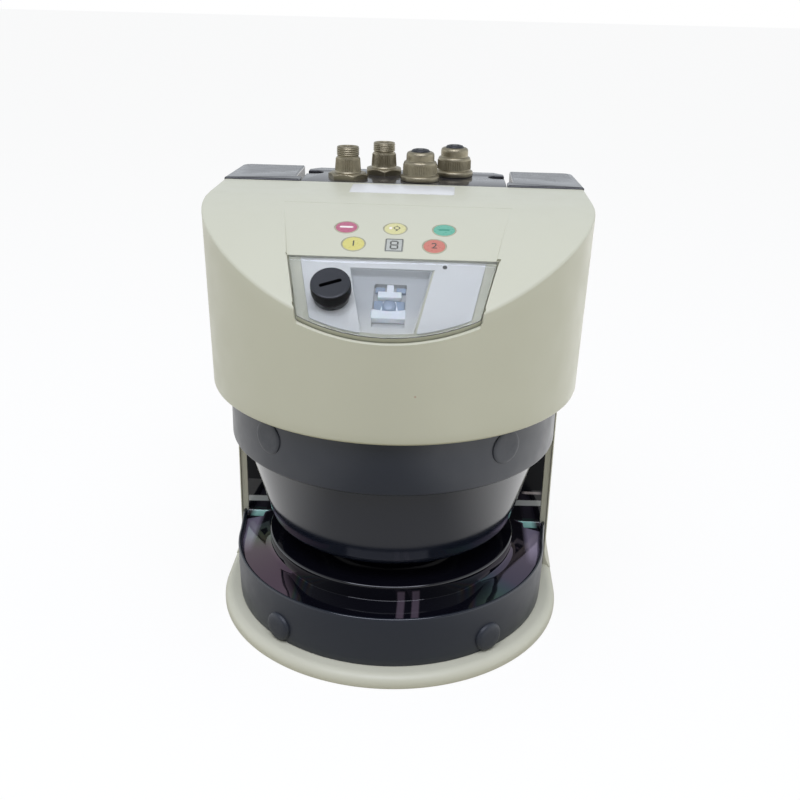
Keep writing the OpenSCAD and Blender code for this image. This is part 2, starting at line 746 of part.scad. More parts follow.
module receiver_board() {
    color("seagreen") {
        block([-18, -18, 118], [18, 18, 118 + board_t]);
        translate([0, 0, 114]) cylinder(r = 4.5, h = 4);
    }
}

module laser_module() {
    color(metal) difference() {
        translate([0, barrel_r + 0.3, laser_z]) rotate([-90, 0, 0]) cylinder(r = laser_r, h = 30);
        translate([0, barrel_r - 1, laser_z]) rotate([-90, 0, 0]) cylinder(r = 3.5, h = 6);
    }
}

module fold_mirror() {
    color("white") difference() {
        union() {
            intersection() {
                translate([0, 0, laser_z - 6]) cylinder(r = 4, h = 12);
                translate([0, 0, laser_z]) rotate([-45, 0, 0]) block([-10, -10, 0], [10, 10, 20]);
            }
            block([-20, -1, laser_z + 4.5], [20, 1, laser_z + 6.5]);
        }
        translate([0, 0, laser_z - 20]) cylinder(r = 1, h = 5);
    }
}

// ---- Mirror drive ----

// Everything under a plane through the scan centre that faces forward and up, sunk by a depth
module under_mirror(sunk) {
    translate([0, 0, scan_z]) rotate([45, 0, 0]) block([-60, -60, -80], [60, 60, -sunk]);
}

module deflection_mirror() {
    color("#d9e3ea") difference() {
        intersection() {
            cylinder(r = mirror_r, h = far);
            under_mirror(0);
        }
        under_mirror(2);
        cylinder(r = far, h = 43.02);
    }
}

module mirror_carrier() {
    color(black) difference() {
        union() {
            intersection() {
                translate([0, 0, 43]) cylinder(r = mirror_r, h = 60);
                under_mirror(2);
            }
            translate([0, 0, 40.6]) cylinder(r = 20, h = 2.4);
        }
        intersection() {
            translate([0, 0, 46]) cylinder(r = mirror_r - 3, h = 60);
            under_mirror(5);
        }
        for (x = [-8, 8]) translate([x, 0, 50]) rotate([-90, 0, 0]) cylinder(r = 2.2, h = 40);
        translate([0, 0, 30]) cylinder(r = shaft_r + 0.02, h = 14.5);
    }
}

module encoder_disc() {
    color("#3b3f46") translate([0, 0, 39.6]) difference() {
        cylinder(r = 25, h = 0.98);
        translate([0, 0, -1]) cylinder(r = shaft_r + 0.02, h = 4);
        for (k = [0:23]) rotate([0, 0, 15 * k]) translate([21.6, -0.9, -1]) cube([2.2, 1.8, 4]);
    }
}

module encoder_sensor() {
    color(black) difference() {
        block([-5, 21, motor_top], [5, 27, 44]);
        block([-6, 20, 39.1], [6, 25.5, 41.3]);
        block([-6, 20, 40], [6, 21.5, 45]);
        rotate_extrude() translate([26.9, 0]) square([9, 60]);
    }
    color(black) block([-5, 14, motor_top], [5, 22, 38.8]);
}

module rotor_shaft() {
    color("silver") {
        translate([0, 0, 10]) cylinder(r = shaft_r, h = 34.4);
        translate([0, 0, 15]) cylinder(r = 10, h = 14);
    }
}

module motor() {
    color("#7d8085") difference() {
        union() {
            translate([0, 0, flange_z]) cylinder(r = 26, h = 3);
            translate([0, 0, flange_z]) cylinder(r = 20, h = motor_top - flange_z);
        }
        translate([0, 0, 14]) cylinder(r = 17, h = 16);
        translate([0, 0, 9]) cylinder(r = 6.5, h = 6);
        translate([0, 0, 29]) cylinder(r = 3.2, h = 4);
        translate([0, 0, 32]) cylinder(r = 6.5, h = 10);
        for (a = [90, 210, 330]) rotate([0, 0, a]) translate([22.9, 0, 0]) cylinder(r = 1.6, h = 20);
    }
    color("#b06a3a") translate([0, 0, 15]) tube(11, 17, 14);
}

module motor_bearings() {
    color("silver") for (z = [9.1, 32.1]) translate([0, 0, z]) tube(shaft_r + 0.03, 6.45, 4.4);
}

base_frame();
bottom_cover();
bottom_screws();
mount_inserts();
optics_cover();
optics_seal();
upper_plug_left();
upper_plug_right();
lower_plug_left();
lower_plug_right();
window_screws();
head_cover();
head_screws();
rear_cover();
connector_plate();
plate_screws();
male_shell_1();
male_shell_2();
female_shell_1();
female_shell_2();
male_insert_1();
male_insert_2();
female_insert_1();
female_insert_2();
contact_pins();
lock_nuts();
connector_seals();
blank_label();
panel_window();
panel_sheet();
sensor_tray();
sensor_lens();
light_bars();
service_socket();
service_cap();
cap_seal();
lamp_red();
lamp_pale();
lamp_green();
lamp_amber();
lamp_orange();
display_window();
display_board();
chassis_plate();
board_pillars();
main_board();
board_screws();
power_board();
optics_barrel();
receiver_lens();
receiver_board();
laser_module();
fold_mirror();
deflection_mirror();
mirror_carrier();
encoder_disc();
encoder_sensor();
rotor_shaft();
motor();
motor_bearings();
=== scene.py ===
import math

import bmesh
import bpy
from mathutils import Matrix, Vector


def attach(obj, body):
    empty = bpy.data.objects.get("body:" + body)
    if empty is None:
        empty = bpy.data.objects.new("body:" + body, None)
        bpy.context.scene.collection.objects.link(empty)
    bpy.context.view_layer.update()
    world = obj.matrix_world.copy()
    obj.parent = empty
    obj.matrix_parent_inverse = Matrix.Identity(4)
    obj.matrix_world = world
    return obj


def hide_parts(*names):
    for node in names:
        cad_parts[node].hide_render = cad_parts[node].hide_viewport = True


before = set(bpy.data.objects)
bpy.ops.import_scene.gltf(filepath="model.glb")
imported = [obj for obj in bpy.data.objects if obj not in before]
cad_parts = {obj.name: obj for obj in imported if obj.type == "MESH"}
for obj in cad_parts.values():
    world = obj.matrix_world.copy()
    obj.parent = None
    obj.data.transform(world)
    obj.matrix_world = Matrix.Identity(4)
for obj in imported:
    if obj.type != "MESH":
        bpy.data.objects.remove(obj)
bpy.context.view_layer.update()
print("stage: frame loaded,", len(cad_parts), "CAD nodes")

millimetre = 0.001


def show(made):  # puts an object in the scene
    bpy.context.scene.collection.objects.link(made)
    return made


# place in mm, angles in degrees, lens in mm
view = {"place": (17.69, -359.39, 229.65), "yaw": 2.458, "pitch": 22.107, "roll": 1.339, "lens": 45.4}


def setCamera(v):
    yaw, pitch, roll = (math.radians(v[k]) for k in ("yaw", "pitch", "roll"))
    forward = Vector((-math.sin(yaw) * math.cos(pitch), math.cos(yaw) * math.cos(pitch), -math.sin(pitch)))
    right = Vector((math.cos(yaw), math.sin(yaw), 0))
    up = right.cross(forward)
    right, up = (right * math.cos(roll) + up * math.sin(roll), up * math.cos(roll) - right * math.sin(roll))
    data = bpy.data.cameras.new("studioCamera")
    data.lens = v["lens"]
    data.sensor_width = 36
    data.clip_start, data.clip_end = 0.01, 20
    camera = show(bpy.data.objects.new("studioCamera", data))
    camera.matrix_world = Matrix((right, up, -forward)).transposed().to_4x4()
    camera.location = Vector(v["place"]) * millimetre
    bpy.context.scene.camera = camera


setCamera(view)
print("stage: camera")


def linear(hexColour):
    parts = [int(hexColour[i:i + 2], 16) / 255 for i in (1, 3, 5)]
    return tuple(c / 12.92 if c <= 0.04045 else ((c + 0.055) / 1.055) ** 2.4 for c in parts) + (1.0,)


def addNode(tree, kind, links=(), **settings):
    # links: values and sockets, by name or in order; a node stands for its first output in use
    node = tree.nodes.new(kind if "Node" in kind else "ShaderNode" + kind)
    for key, value in settings.items():
        setattr(node, key, value)
    for key, value in (links if isinstance(links, dict) else dict(enumerate(links))).items():
        if isinstance(value, bpy.types.Node):
            value = next(s for s in value.outputs if s.enabled)
        if isinstance(value, bpy.types.NodeSocket):
            tree.links.new(value, node.inputs[key])
        else:
            node.inputs[key].default_value = value
    return node


def placeIn(tree):  # Object coordinates, whole and as x, y and z
    here = addNode(tree, "TexCoord").outputs["Object"]
    return (here, *addNode(tree, "SeparateXYZ", (here,)).outputs)


def perMm(size):  # noise scale, on coordinates in metres, for a pattern of that size in mm
    return 1000 / size


def surface(name, shade, otherShade, patch, smooth, rough, grain, relief, sockets=None):
    # two close shades and a roughness that drift over patches of that size in mm; grain and relief: the bump, in mm
    made = bpy.data.materials.new(name)
    made.use_nodes = True
    tree = made.node_tree
    shader = tree.nodes["Principled BSDF"]
    for key, value in (sockets or {}).items():
        shader.inputs[key].default_value = value
    place = addNode(tree, "TexCoord").outputs["Object"]
    drift = addNode(tree, "TexNoise", {"Vector": place, "Scale": perMm(patch), "Detail": 3.0})
    colour = addNode(tree, "Mix", {0: drift, 6: linear(shade), 7: linear(otherShade)}, data_type="RGBA")
    wear = addNode(tree, "TexNoise", {"Vector": place, "Scale": perMm(patch / 4), "Detail": 4.0})
    finish = addNode(tree, "MapRange", (wear, 0.3, 0.7, smooth, rough))
    tooth = addNode(tree, "TexNoise", {"Vector": place, "Scale": perMm(grain), "Detail": 2.0})
    bump = addNode(tree, "Bump", {"Height": tooth, "Strength": 1.0, "Distance": relief * millimetre})
    tree.links.new(colour.outputs[2], shader.inputs["Base Color"])
    tree.links.new(finish.outputs[0], shader.inputs["Roughness"])
    tree.links.new(bump.outputs[0], shader.inputs["Normal"])
    return made


def layer(made, mask, hexColour):  # paints a colour over a material's base colour where the mask is 1
    target = made.node_tree.nodes["Principled BSDF"].inputs["Base Color"]
    under = target.links[0].from_socket
    mix = addNode(made.node_tree, "Mix", {0: mask, 6: under, 7: linear(hexColour)}, data_type="RGBA")
    made.node_tree.links.new(mix.outputs[2], target)


def within(tree, *ranges):  # 1 where every value is in its range in mm, 0 outside, with soft ends
    mask = None
    for value, low, high, soft in ranges:
        rise = addNode(tree, "MapRange", (value, (low - soft) * millimetre, (low + soft) * millimetre))
        fall = addNode(tree, "MapRange", (value, (high + soft) * millimetre, (high - soft) * millimetre))
        for end in (rise, fall):
            mask = addNode(tree, "Math", (mask, end), operation="MULTIPLY") if mask else end
    return mask


def specks(made, spacing, size, hexColour, keep):
    # small marks of handling: dots of that size in mm, in that share of the cells of that spacing
    tree = made.node_tree
    place = addNode(tree, "TexCoord").outputs["Object"]
    cells = addNode(tree, "TexVoronoi", {"Vector": place, "Scale": perMm(spacing), "Randomness": 1.0})
    near = addNode(tree, "Math", (cells, size / spacing / 2), operation="LESS_THAN")
    pick = addNode(tree, "SeparateColor", (cells.outputs["Color"],))
    some = addNode(tree, "Math", (pick, keep), operation="LESS_THAN")
    both = addNode(tree, "Math", (near, some), operation="MULTIPLY")
    soft = addNode(tree, "Math", (both, 0.55), operation="MULTIPLY")
    layer(made, soft, hexColour)


def mark(made, place, size, hexColour):  # one small mark of handling, at that place in mm
    tree = made.node_tree
    size *= millimetre
    here = addNode(tree, "TexCoord").outputs["Object"]
    wobble = addNode(tree, "TexNoise", {"Vector": here, "Scale": perMm(1.5)})
    far = addNode(tree, "VectorMath", (here, tuple(v * millimetre for v in place)), operation="DISTANCE")
    uneven = addNode(tree, "Math", (wobble, size, far), operation="MULTIPLY_ADD")
    near = addNode(tree, "MapRange", (uneven, 1.2 * size, 0.6 * size, 0.0, 0.7))
    layer(made, near, hexColour)


# each surface: two shades, patch in mm, roughness from and to, grain and relief in mm
# PC/ABS housing in cream grey, moulded with a fine spark texture: soft highlights, a few scuffs and specks
housingPlastic = surface("creamHousingPlastic", "#C5C4B0", "#C1C0AC", 40, 0.36, 0.46, 0.7, 0.006)
specks(housingPlastic, 30, 0.5, "#A39A86", 0.12)
mark(housingPlastic, (9.75, -64.98, 111.17), 0.7, "#A5705E")
# the same plastic on the base, a little yellower
basePlastic = surface("creamBasePlastic", "#C8C6B3", "#C2C0AC", 30, 0.38, 0.5, 0.7, 0.006)
specks(basePlastic, 26, 0.5, "#9A9079", 0.12)
# infrared filter plastic, matted on the two rings: slate blue black, a broad soft sheen
ringPlastic = surface("mattedFilterPlastic", "#20252F", "#1C212B", 25, 0.34, 0.42, 0.5, 0.004)
# the same filter plastic as moulded against a polished steel: satin on the bowl
bowlPlastic = surface("satinFilterPlastic", "#141926", "#191D2A", 35, 0.09, 0.13, 0.8, 0.001, {"IOR": 1.58})
# the wall behind the bowl: the same plastic with a finer sheen, so that it stays near black
wallPlastic = surface("dullFilterPlastic", "#0D0E12", "#131418", 30, 0.12, 0.18, 1.0, 0.001, {"IOR": 1.25})
# the lower ring's top edge is polished by the mould's parting line, which gives a thin bright line
edgePlastic = surface("polishedFilterEdge", "#1A1E27", "#1D212A", 20, 0.1, 0.16, 0.8, 0.001, {"IOR": 1.58})

# mirror gloss at the foot of that wall; where its fillet would catch the light, pale bands and a teal glint are painted
# into its colour as painted reflections
glossPlastic = surface("glossFilterPlastic", "#06060B", "#0A0A11", 45, 0.04, 0.07, 2.0, 0.001, {"IOR": 1.58})
paintedReflectionBands = {"climb": -0.027, "colour": "#B7B9B5", "endColour": "#B5ABAB", "glint": "#A9E3D6"}
glossTree = glossPlastic.node_tree
_, x, y, z = placeIn(glossTree)
aside = addNode(glossTree, "Math", (x,), operation="ABSOLUTE")
height = addNode(glossTree, "Math", (x, paintedReflectionBands["climb"], z), operation="MULTIPLY_ADD")
# painted reflections: pale bands along the fillet and a teal glint at its foot
layer(glossPlastic, within(glossTree, (height, 30.8, 33.3, 0.2)), paintedReflectionBands["colour"])
layer(glossPlastic, within(glossTree, (z, 37.7, 38.8, 0.2), (x, 53.5, 60.5, 0.8)), paintedReflectionBands["endColour"])
layer(glossPlastic, within(glossTree, (z, 24.4, 25.0, 0.2), (aside, 51.5, 58.8, 1.2)), paintedReflectionBands["glint"])

# the window's floor has a hard coat: a thin film, in nm, that splits the reflection into violet and green
coatedPlastic = surface("coatedFilterPlastic", "#0A0A10", "#0D0D14", 45, 0.05, 0.08, 2.0, 0.001,
                        {"IOR": 1.58, "Thin Film IOR": 1.68})
filmAndPaintedSheen = {"thin": 370.0, "thick": 520.0, "swirl": 52, "violet": "#857C8E", "paintedStreak": "#4A4049",
        "streaks": ((5.1, 7.7), (10.4, 13))}
coatTree = coatedPlastic.node_tree
here, x, y, z = placeIn(coatTree)
mirrored = addNode(coatTree, "VectorMath", (here, (-1.0, 1.0, 1.0)), operation="MULTIPLY")
swirl = addNode(coatTree, "TexNoise", {"Vector": mirrored, "Scale": perMm(filmAndPaintedSheen["swirl"]), "Detail": 0.0})
film = addNode(coatTree, "MapRange", (swirl, 0.35, 0.65, filmAndPaintedSheen["thin"], filmAndPaintedSheen["thick"]))
aside = addNode(coatTree, "Math", (x,), operation="ABSOLUTE")
onFloor = (z, 20, 26.2, 0.1)
filmed = addNode(coatTree, "Math", (film, within(coatTree, (aside, 30, 70, 4), onFloor)), operation="MULTIPLY")
coatTree.links.new(filmed.outputs[0], coatTree.nodes["Principled BSDF"].inputs["Thin Film Thickness"])
# towards the rear wall the floor is painted violet, a painted reflection of the sheen
layer(coatedPlastic, within(coatTree, (y, -12, 16, 6), (aside, 54.5, 62, 1.2), onFloor), filmAndPaintedSheen["violet"])
# two upright streaks on the pedestal's front, painted reflections as of a lit door frame
for low, high in filmAndPaintedSheen["streaks"]:
    paintedStreak = within(coatTree, (x, low, high, 0.3), (z, 23.5, 28.4, 0.4), (y, -62, -40, 0.5))
    layer(coatedPlastic, paintedStreak, filmAndPaintedSheen["paintedStreak"])

# nylon plugs, matt and faintly mottled
plugNylon = surface("plugNylon", "#262A33", "#20242C", 6, 0.42, 0.52, 0.5, 0.01)
# acetal knob with a smooth satin skin
knobAcetal = surface("knobAcetal", "#14171E", "#191C25", 8, 0.2, 0.27, 0.9, 0.001)
# the knob's side: the same acetal, painted darker as painted shade, matt and with a weak reflection, nearly black
knobShadedSide = surface("shadedMattAcetalSide", "#08080A", "#0D0D10", 6, 0.5, 0.62, 0.6, 0.004, {"IOR": 1.3})
# black polycarbonate rear cover, polished: it mirrors the pale room at a low angle
coverPlastic = surface("polishedCoverPlastic", "#29292C", "#302F33", 20, 0.12, 0.18, 0.9, 0.0012)
# nickel-plated brass, bead blasted: a warm grey with a broad highlight
nickelBrass = surface("nickelPlatedBrass", "#9A927E", "#877F6A", 4, 0.36, 0.48, 0.25, 0.006, {"Metallic": 1.0})
# dark insulating body of the connectors, dull
insertNylon = surface("connectorNylon", "#15161A", "#1C1D22", 4, 0.4, 0.5, 0.3, 0.005)
# gilt bronze pins, bright yellow
giltBronze = surface("giltBronze", "#D6B15A", "#C49E48", 2, 0.2, 0.3, 0.3, 0.002, {"Metallic": 1.0})
# nitrile rubber, dull
nitrileRubber = surface("nitrileRubber", "#18181A", "#1F1F21", 5, 0.7, 0.8, 0.4, 0.01)
# polyester label film, satin white
labelFilm = surface("polyesterLabelFilm", "#D8D7D3", "#D2D2CE", 12, 0.3, 0.4, 1.0, 0.003)
# printed white sheet behind the clear panel, an even satin
sheetFilm = surface("whiteBackingFilm", "#DEDEDC", "#D9D9D8", 15, 0.35, 0.45, 1.0, 0.003)
# pale moulded tray round the sensor, painted paler at its foot: painted light
trayPlastic = surface("paleTrayPlastic", "#B6B9BB", "#AEB1B4", 8, 0.3, 0.4, 0.6, 0.004)
_, x, y, z = placeIn(trayPlastic.node_tree)
# painted light: the tray's foot, towards the front, is painted paler
layer(trayPlastic, within(trayPlastic.node_tree, (y, -80, -54.5, 5)), "#E3E2DC")
# milky light guides, which glow a little from inside
guidePlastic = surface("milkyGuidePlastic", "#F2F6FA", "#E9EFF5", 5, 0.2, 0.3, 0.8, 0.003,
                       {"Subsurface Weight": 0.2, "Subsurface Scale": 0.002})
# clear polycarbonate, polished
clearPlastic = surface("clearPolycarbonate", "#F6F8F9", "#F2F5F7", 30, 0.02, 0.05, 1.5, 0.0005,
                       {"Transmission Weight": 1.0, "IOR": 1.58})
# its milled rim, left matt: olive grey, since it passes on the colour of the housing round it
frostedEdge = surface("frostedPolycarbonateEdge", "#C6C7B8", "#BEBFB0", 6, 0.45, 0.55, 0.3, 0.003)
# coated lens glass with a bluish cast
lensGlass = surface("coatedLensGlass", "#7F93AF", "#8CA0BA", 6, 0.06, 0.1, 1.0, 0.001,
                    {"Coat Weight": 0.6, "Coat Roughness": 0.03})
# silvered mirror, clean
silverMirror = surface("silveredMirror", "#E6ECEF", "#E0E7EB", 20, 0.02, 0.04, 2.0, 0.0002, {"Metallic": 1.0})
# zinc-plated steel screws and pillars, grey with a soft shine
zincSteel = surface("zincPlatedSteel", "#B2B3B0", "#A4A6A6", 3, 0.28, 0.4, 0.25, 0.004, {"Metallic": 1.0})
# blackened steel, oily
blackSteel = surface("blackenedSteel", "#303033", "#27272A", 3, 0.35, 0.5, 0.25, 0.004, {"Metallic": 0.8})
# ground shaft steel, bright
groundSteel = surface("groundShaftSteel", "#C9CACB", "#BFC1C3", 5, 0.16, 0.24, 0.2, 0.002, {"Metallic": 1.0})
# rolled motor can, greyed
motorSteel = surface("rolledMotorSteel", "#8B8E92", "#7D8085", 8, 0.34, 0.46, 0.4, 0.005, {"Metallic": 0.9})
# turned brass inserts
turnedBrass = surface("turnedBrass", "#B89B58", "#A98B4A", 3, 0.25, 0.35, 0.2, 0.004, {"Metallic": 1.0})
# die-cast aluminium, with a coarse as-cast skin
castAluminium = surface("castAluminium", "#A9ABAC", "#9B9DA0", 10, 0.45, 0.58, 0.9, 0.02, {"Metallic": 0.9})
# circuit board under green solder mask
solderMask = surface("solderMaskBoard", "#1F5A3C", "#184A31", 3, 0.3, 0.4, 0.8, 0.006)
# translucent lamp lenses, moulded in colour, with a satin face
lampPaint = {node: surface(name, shade, otherShade, 3, 0.25, 0.35, 0.5, 0.003) for node, name, shade, otherShade in (
    ("lamp_red", "redLampLens", "#AA5A71", "#B2647A"), ("lamp_pale", "paleYellowLampLens", "#CAC48A", "#CEC994"),
    ("lamp_green", "greenLampLens", "#5CA48B", "#69AC95"), ("lamp_amber", "amberLampLens", "#C8BE6C", "#CCC478"),
    ("lamp_orange", "orangeLampLens", "#BC7060", "#C17A6C"))}
# thin ring round each lamp, painted darker: dust, and painted shade of the gap round the lamp
bezelPlastic = surface("dustAndShadeBezelPlastic", "#B0AD92", "#A6A389", 2, 0.5, 0.6, 0.5, 0.004)
# screen-printed signs, matt
signInk = surface("darkSignInk", "#53534C", "#494A45", 2, 0.45, 0.55, 0.3, 0.003)
paleInk = surface("paleSignInk", "#EDE6DC", "#E3D6D2", 2, 0.45, 0.55, 0.3, 0.003)
greenInk = surface("greenSignInk", "#3F9079", "#388670", 2, 0.45, 0.55, 0.3, 0.003)
# tinted display window, satin
displayPlastic = surface("tintedDisplayPlastic", "#B4B5AC", "#ABADA5", 4, 0.2, 0.3, 0.8, 0.002)
print("stage: materials")


def skin(mesh, rows, wrap=False):
    # faces between rows of points; a row of one point is a pole
    made = [[mesh.verts.new(p) for p in row] for row in rows]
    for a, b in zip(made, made[1:]):
        n = max(len(a), len(b))
        for i in range(n if wrap else n - 1):
            j = (i + 1) % n
            corners = [row[min(k, len(row) - 1)] for row, k in ((a, i), (a, j), (b, j), (b, i))]
            unique = list(dict.fromkeys(corners))
            if len(unique) > 2:
                mesh.faces.new(unique)
    return made


def closed(mesh, rows):  # a skin round rows that wrap, capped at both ends
    made = skin(mesh, rows, wrap=True)
    for row in (made[0], made[-1]):
        if len(row) > 2:
            mesh.faces.new(row)
    return made


def newMesh(*parts):
    mesh = bmesh.new()
    for rows in parts:
        closed(mesh, rows)
    return mesh


def fillet(corners, loop=True, steps=5):
    # corners: (x, y, radius); each is replaced with an arc of that radius
    out = []
    n = len(corners)
    for i, (x, y, r) in enumerate(corners):
        here = Vector((x, y))
        if r <= 0 or (not loop and i in (0, n - 1)):
            out.append(here)
            continue
        before, after = Vector(corners[i - 1][:2]) - here, Vector(corners[(i + 1) % n][:2]) - here
        half = before.angle(after) / 2
        reach = min(r / math.tan(half), 0.49 * before.length, 0.49 * after.length)
        r = reach * math.tan(half)
        middle = here + (before.normalized() + after.normalized()).normalized() * (r / math.sin(half))
        a, b = here + before.normalized() * reach - middle, here + after.normalized() * reach - middle
        turn = a.angle_signed(b)
        out += [middle + Matrix.Rotation(-turn * k / steps, 2) @ a for k in range(steps + 1)]
    return out


def arc(cx, cy, r, start, end, steps):
    angles = [math.radians(start + (end - start) * i / steps) for i in range(steps + 1)]
    return [Vector((cx + r * math.cos(a), cy + r * math.sin(a))) for a in angles]


def circle(x, y, r, segments=48):
    return arc(x, y, r, 0, 360, segments)[:-1]


def boxOutline(x0, y0, x1, y1, r, steps=5):
    return fillet([(x0, y0, r), (x1, y0, r), (x1, y1, r), (x0, y1, r)], steps=steps)


def flipped(points):  # the mirror image, in reversed order
    return [Vector((-p[0], p[1])) for p in reversed(points)]


def inset(outline, distance):  # outline runs counter-clockwise; positive goes inwards
    out = []
    n = len(outline)
    for i, p in enumerate(outline):
        a, b = (p - outline[i - 1]), (outline[(i + 1) % n] - p)
        if a.length < 1e-7:
            a = p - outline[i - 2]
        if b.length < 1e-7:
            b = outline[(i + 2) % n] - p
        na, nb = Vector((-a.y, a.x)).normalized(), Vector((-b.y, b.x)).normalized()
        mid = (na + nb).normalized()
        out.append(p + mid * distance / max(0.35, mid.dot(na)))
    return out


def counterClockwise(outline):
    area = sum(a.x * b.y - b.x * a.y for a, b in zip(outline, outline[1:] + outline[:1]))
    return outline if area > 0 else outline[::-1]


def upright(x, y, z):
    return Vector((x, y, z))


def prismRows(outline, low, high, top=0.5, bottom=0.3, steps=3, place=upright):
    # rows of a prism with rims rounded by top and bottom; place turns (x, y, z) into the object's frame
    outline = counterClockwise(outline)
    levels = []
    for radius, start, way in ((bottom, low, 1), (top, high, -1)):
        turns = [math.pi / 2 * k / steps for k in range(steps + 1)] if radius > 0 else [math.pi / 2]
        rim = [(radius * (1 - math.sin(a)), start + way * radius * (1 - math.cos(a))) for a in turns]
        levels += rim if way > 0 else rim[::-1]
    return [[place(p.x, p.y, z) for p in (inset(outline, d) if d > 1e-6 else outline)] for d, z in levels]


def lathe(mesh, profile, segments, place):
    # profile: (radius, height); radius 0 makes a pole
    turns = [2 * math.pi * k / segments for k in range(segments)]
    rows = [[place(r * math.cos(a), r * math.sin(a), z) for a in (turns if r > 1e-6 else [0])] for r, z in profile]
    return skin(mesh, rows, wrap=True)


def turned(profile, segments, place):
    mesh = bmesh.new()
    lathe(mesh, profile, segments, place)
    return mesh


def smooth(made, sharp):
    made.data.shade_smooth()
    made.data.set_sharp_from_angle(angle=math.radians(sharp))


def toObject(mesh, name, material, sharp=32, scale=millimetre):
    bmesh.ops.scale(mesh, vec=(scale,) * 3, verts=mesh.verts)
    bmesh.ops.remove_doubles(mesh, verts=mesh.verts, dist=2e-6)
    bmesh.ops.recalc_face_normals(mesh, faces=mesh.faces)
    data = bpy.data.meshes.new(name)
    mesh.to_mesh(data)
    mesh.free()
    made = show(bpy.data.objects.new(name, data))
    data.materials.append(material)
    smooth(made, sharp)
    return made


def remove(made):
    data = made.data
    bpy.data.objects.remove(made)
    bpy.data.meshes.remove(data)


def cutter(outline, low, high, place=upright, bottom=0):
    return toObject(newMesh(prismRows(outline, low, high, top=0, bottom=bottom, place=place)), "cutter", housingPlastic)


def carve(made, cutters, sharp=32):  # cuts those shapes out and turns the result into plain mesh
    for shape in cutters:
        step = made.modifiers.new("carve", "BOOLEAN")
        step.operation, step.solver, step.object = "DIFFERENCE", "EXACT", shape
    data = bpy.data.meshes.new_from_object(made.evaluated_get(bpy.context.evaluated_depsgraph_get()))
    old = made.data
    made.modifiers.clear()
    made.data = data
    bpy.data.meshes.remove(old)
    for shape in cutters:
        remove(shape)
    smooth(made, sharp)
    return made


def settle(made, slotName, body="housing", replaced=()):
    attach(made, body)
    if replaced:
        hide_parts(*replaced)
    return made


def finish(mesh, name, material, slotName, body="housing", replaced=()):
    return settle(toObject(mesh, name, material), slotName, body, replaced)


# all lengths are in mm; the head is a half-round shell with a crown, on a cylinder that narrows downwards
head = {"radius": 69.675, "radiusAt": 150, "draft": 0.024, "centreY": 3.04, "bottom": 93.8, "wall": 3.0, "flangeTop": 97.4,
        "flangeR": 61.95, "edge": 1.0, "crownR": 119, "crownY": 10, "crownZ": 41, "coverY": 34.1, "rimZ": 148,
        "rearY": 67.5, "rearHalf": 68.4, "corner": 4.2}
# the sunk lamp field between head and panel
tongue = {"radius": 103, "y": 8.25, "z": 56.85, "half": 34.2, "halfAt": -38.6, "widening": 6.4 / 35.6, "start": -3.3,
          "length": 36.4}
panel = {"y": -39.4, "z": 149.35, "tilt": math.radians(35), "floor": -3.1, "lip": -1.95, "gap": 0.3, "frontR": 68.1,
         "plate": 2.6, "plateR": 67.8, "sheetR": 65.6, "x": 0.5, "half": 34.2, "taper": 0.215}


def headRadius(z):
    return head["radius"] - (head["radiusAt"] - z) * head["draft"]


def crownHeight(y):
    if y >= head["crownY"]:
        return head["crownZ"] + head["crownR"]
    return head["crownZ"] + math.sqrt(head["crownR"] ** 2 - (y - head["crownY"]) ** 2)


def tongueHeight(y):
    return tongue["z"] + math.sqrt(tongue["radius"] ** 2 - (y - tongue["y"]) ** 2)


def panelPoint(x, s, n):  # s runs down the panel, n out of it
    c, d = math.cos(panel["tilt"]), math.sin(panel["tilt"])
    return Vector((x, panel["y"] - s * c - n * d, panel["z"] - s * d + n * c))


def panelAt(x0, s0):  # a frame that lies on the panel at that place
    return lambda x, y, z: panelPoint(x0 + x, s0 - y, z)


onPanel = panelAt(0, 0)


def panelHalf(s):
    return panel["half"] - panel["taper"] * s


def surfaceAbove(x, s, height):  # distance out of the panel's plane to a surface given as height(y)
    n = 0.0
    for _ in range(6):
        p = panelPoint(x, s, n)
        n += (height(p.y) - p.z) * 0.75
    return n


def smoothStep(t):
    t = min(1, max(0, t))
    return t * t * (3 - 2 * t)


def innerTop(x, y):  # the shell's ceiling, lower under the panel
    deep = smoothStep((-28 - y) / 9) * smoothStep((45 - abs(x)) / 7)
    return crownHeight(y) - head["wall"] - 6.6 * deep


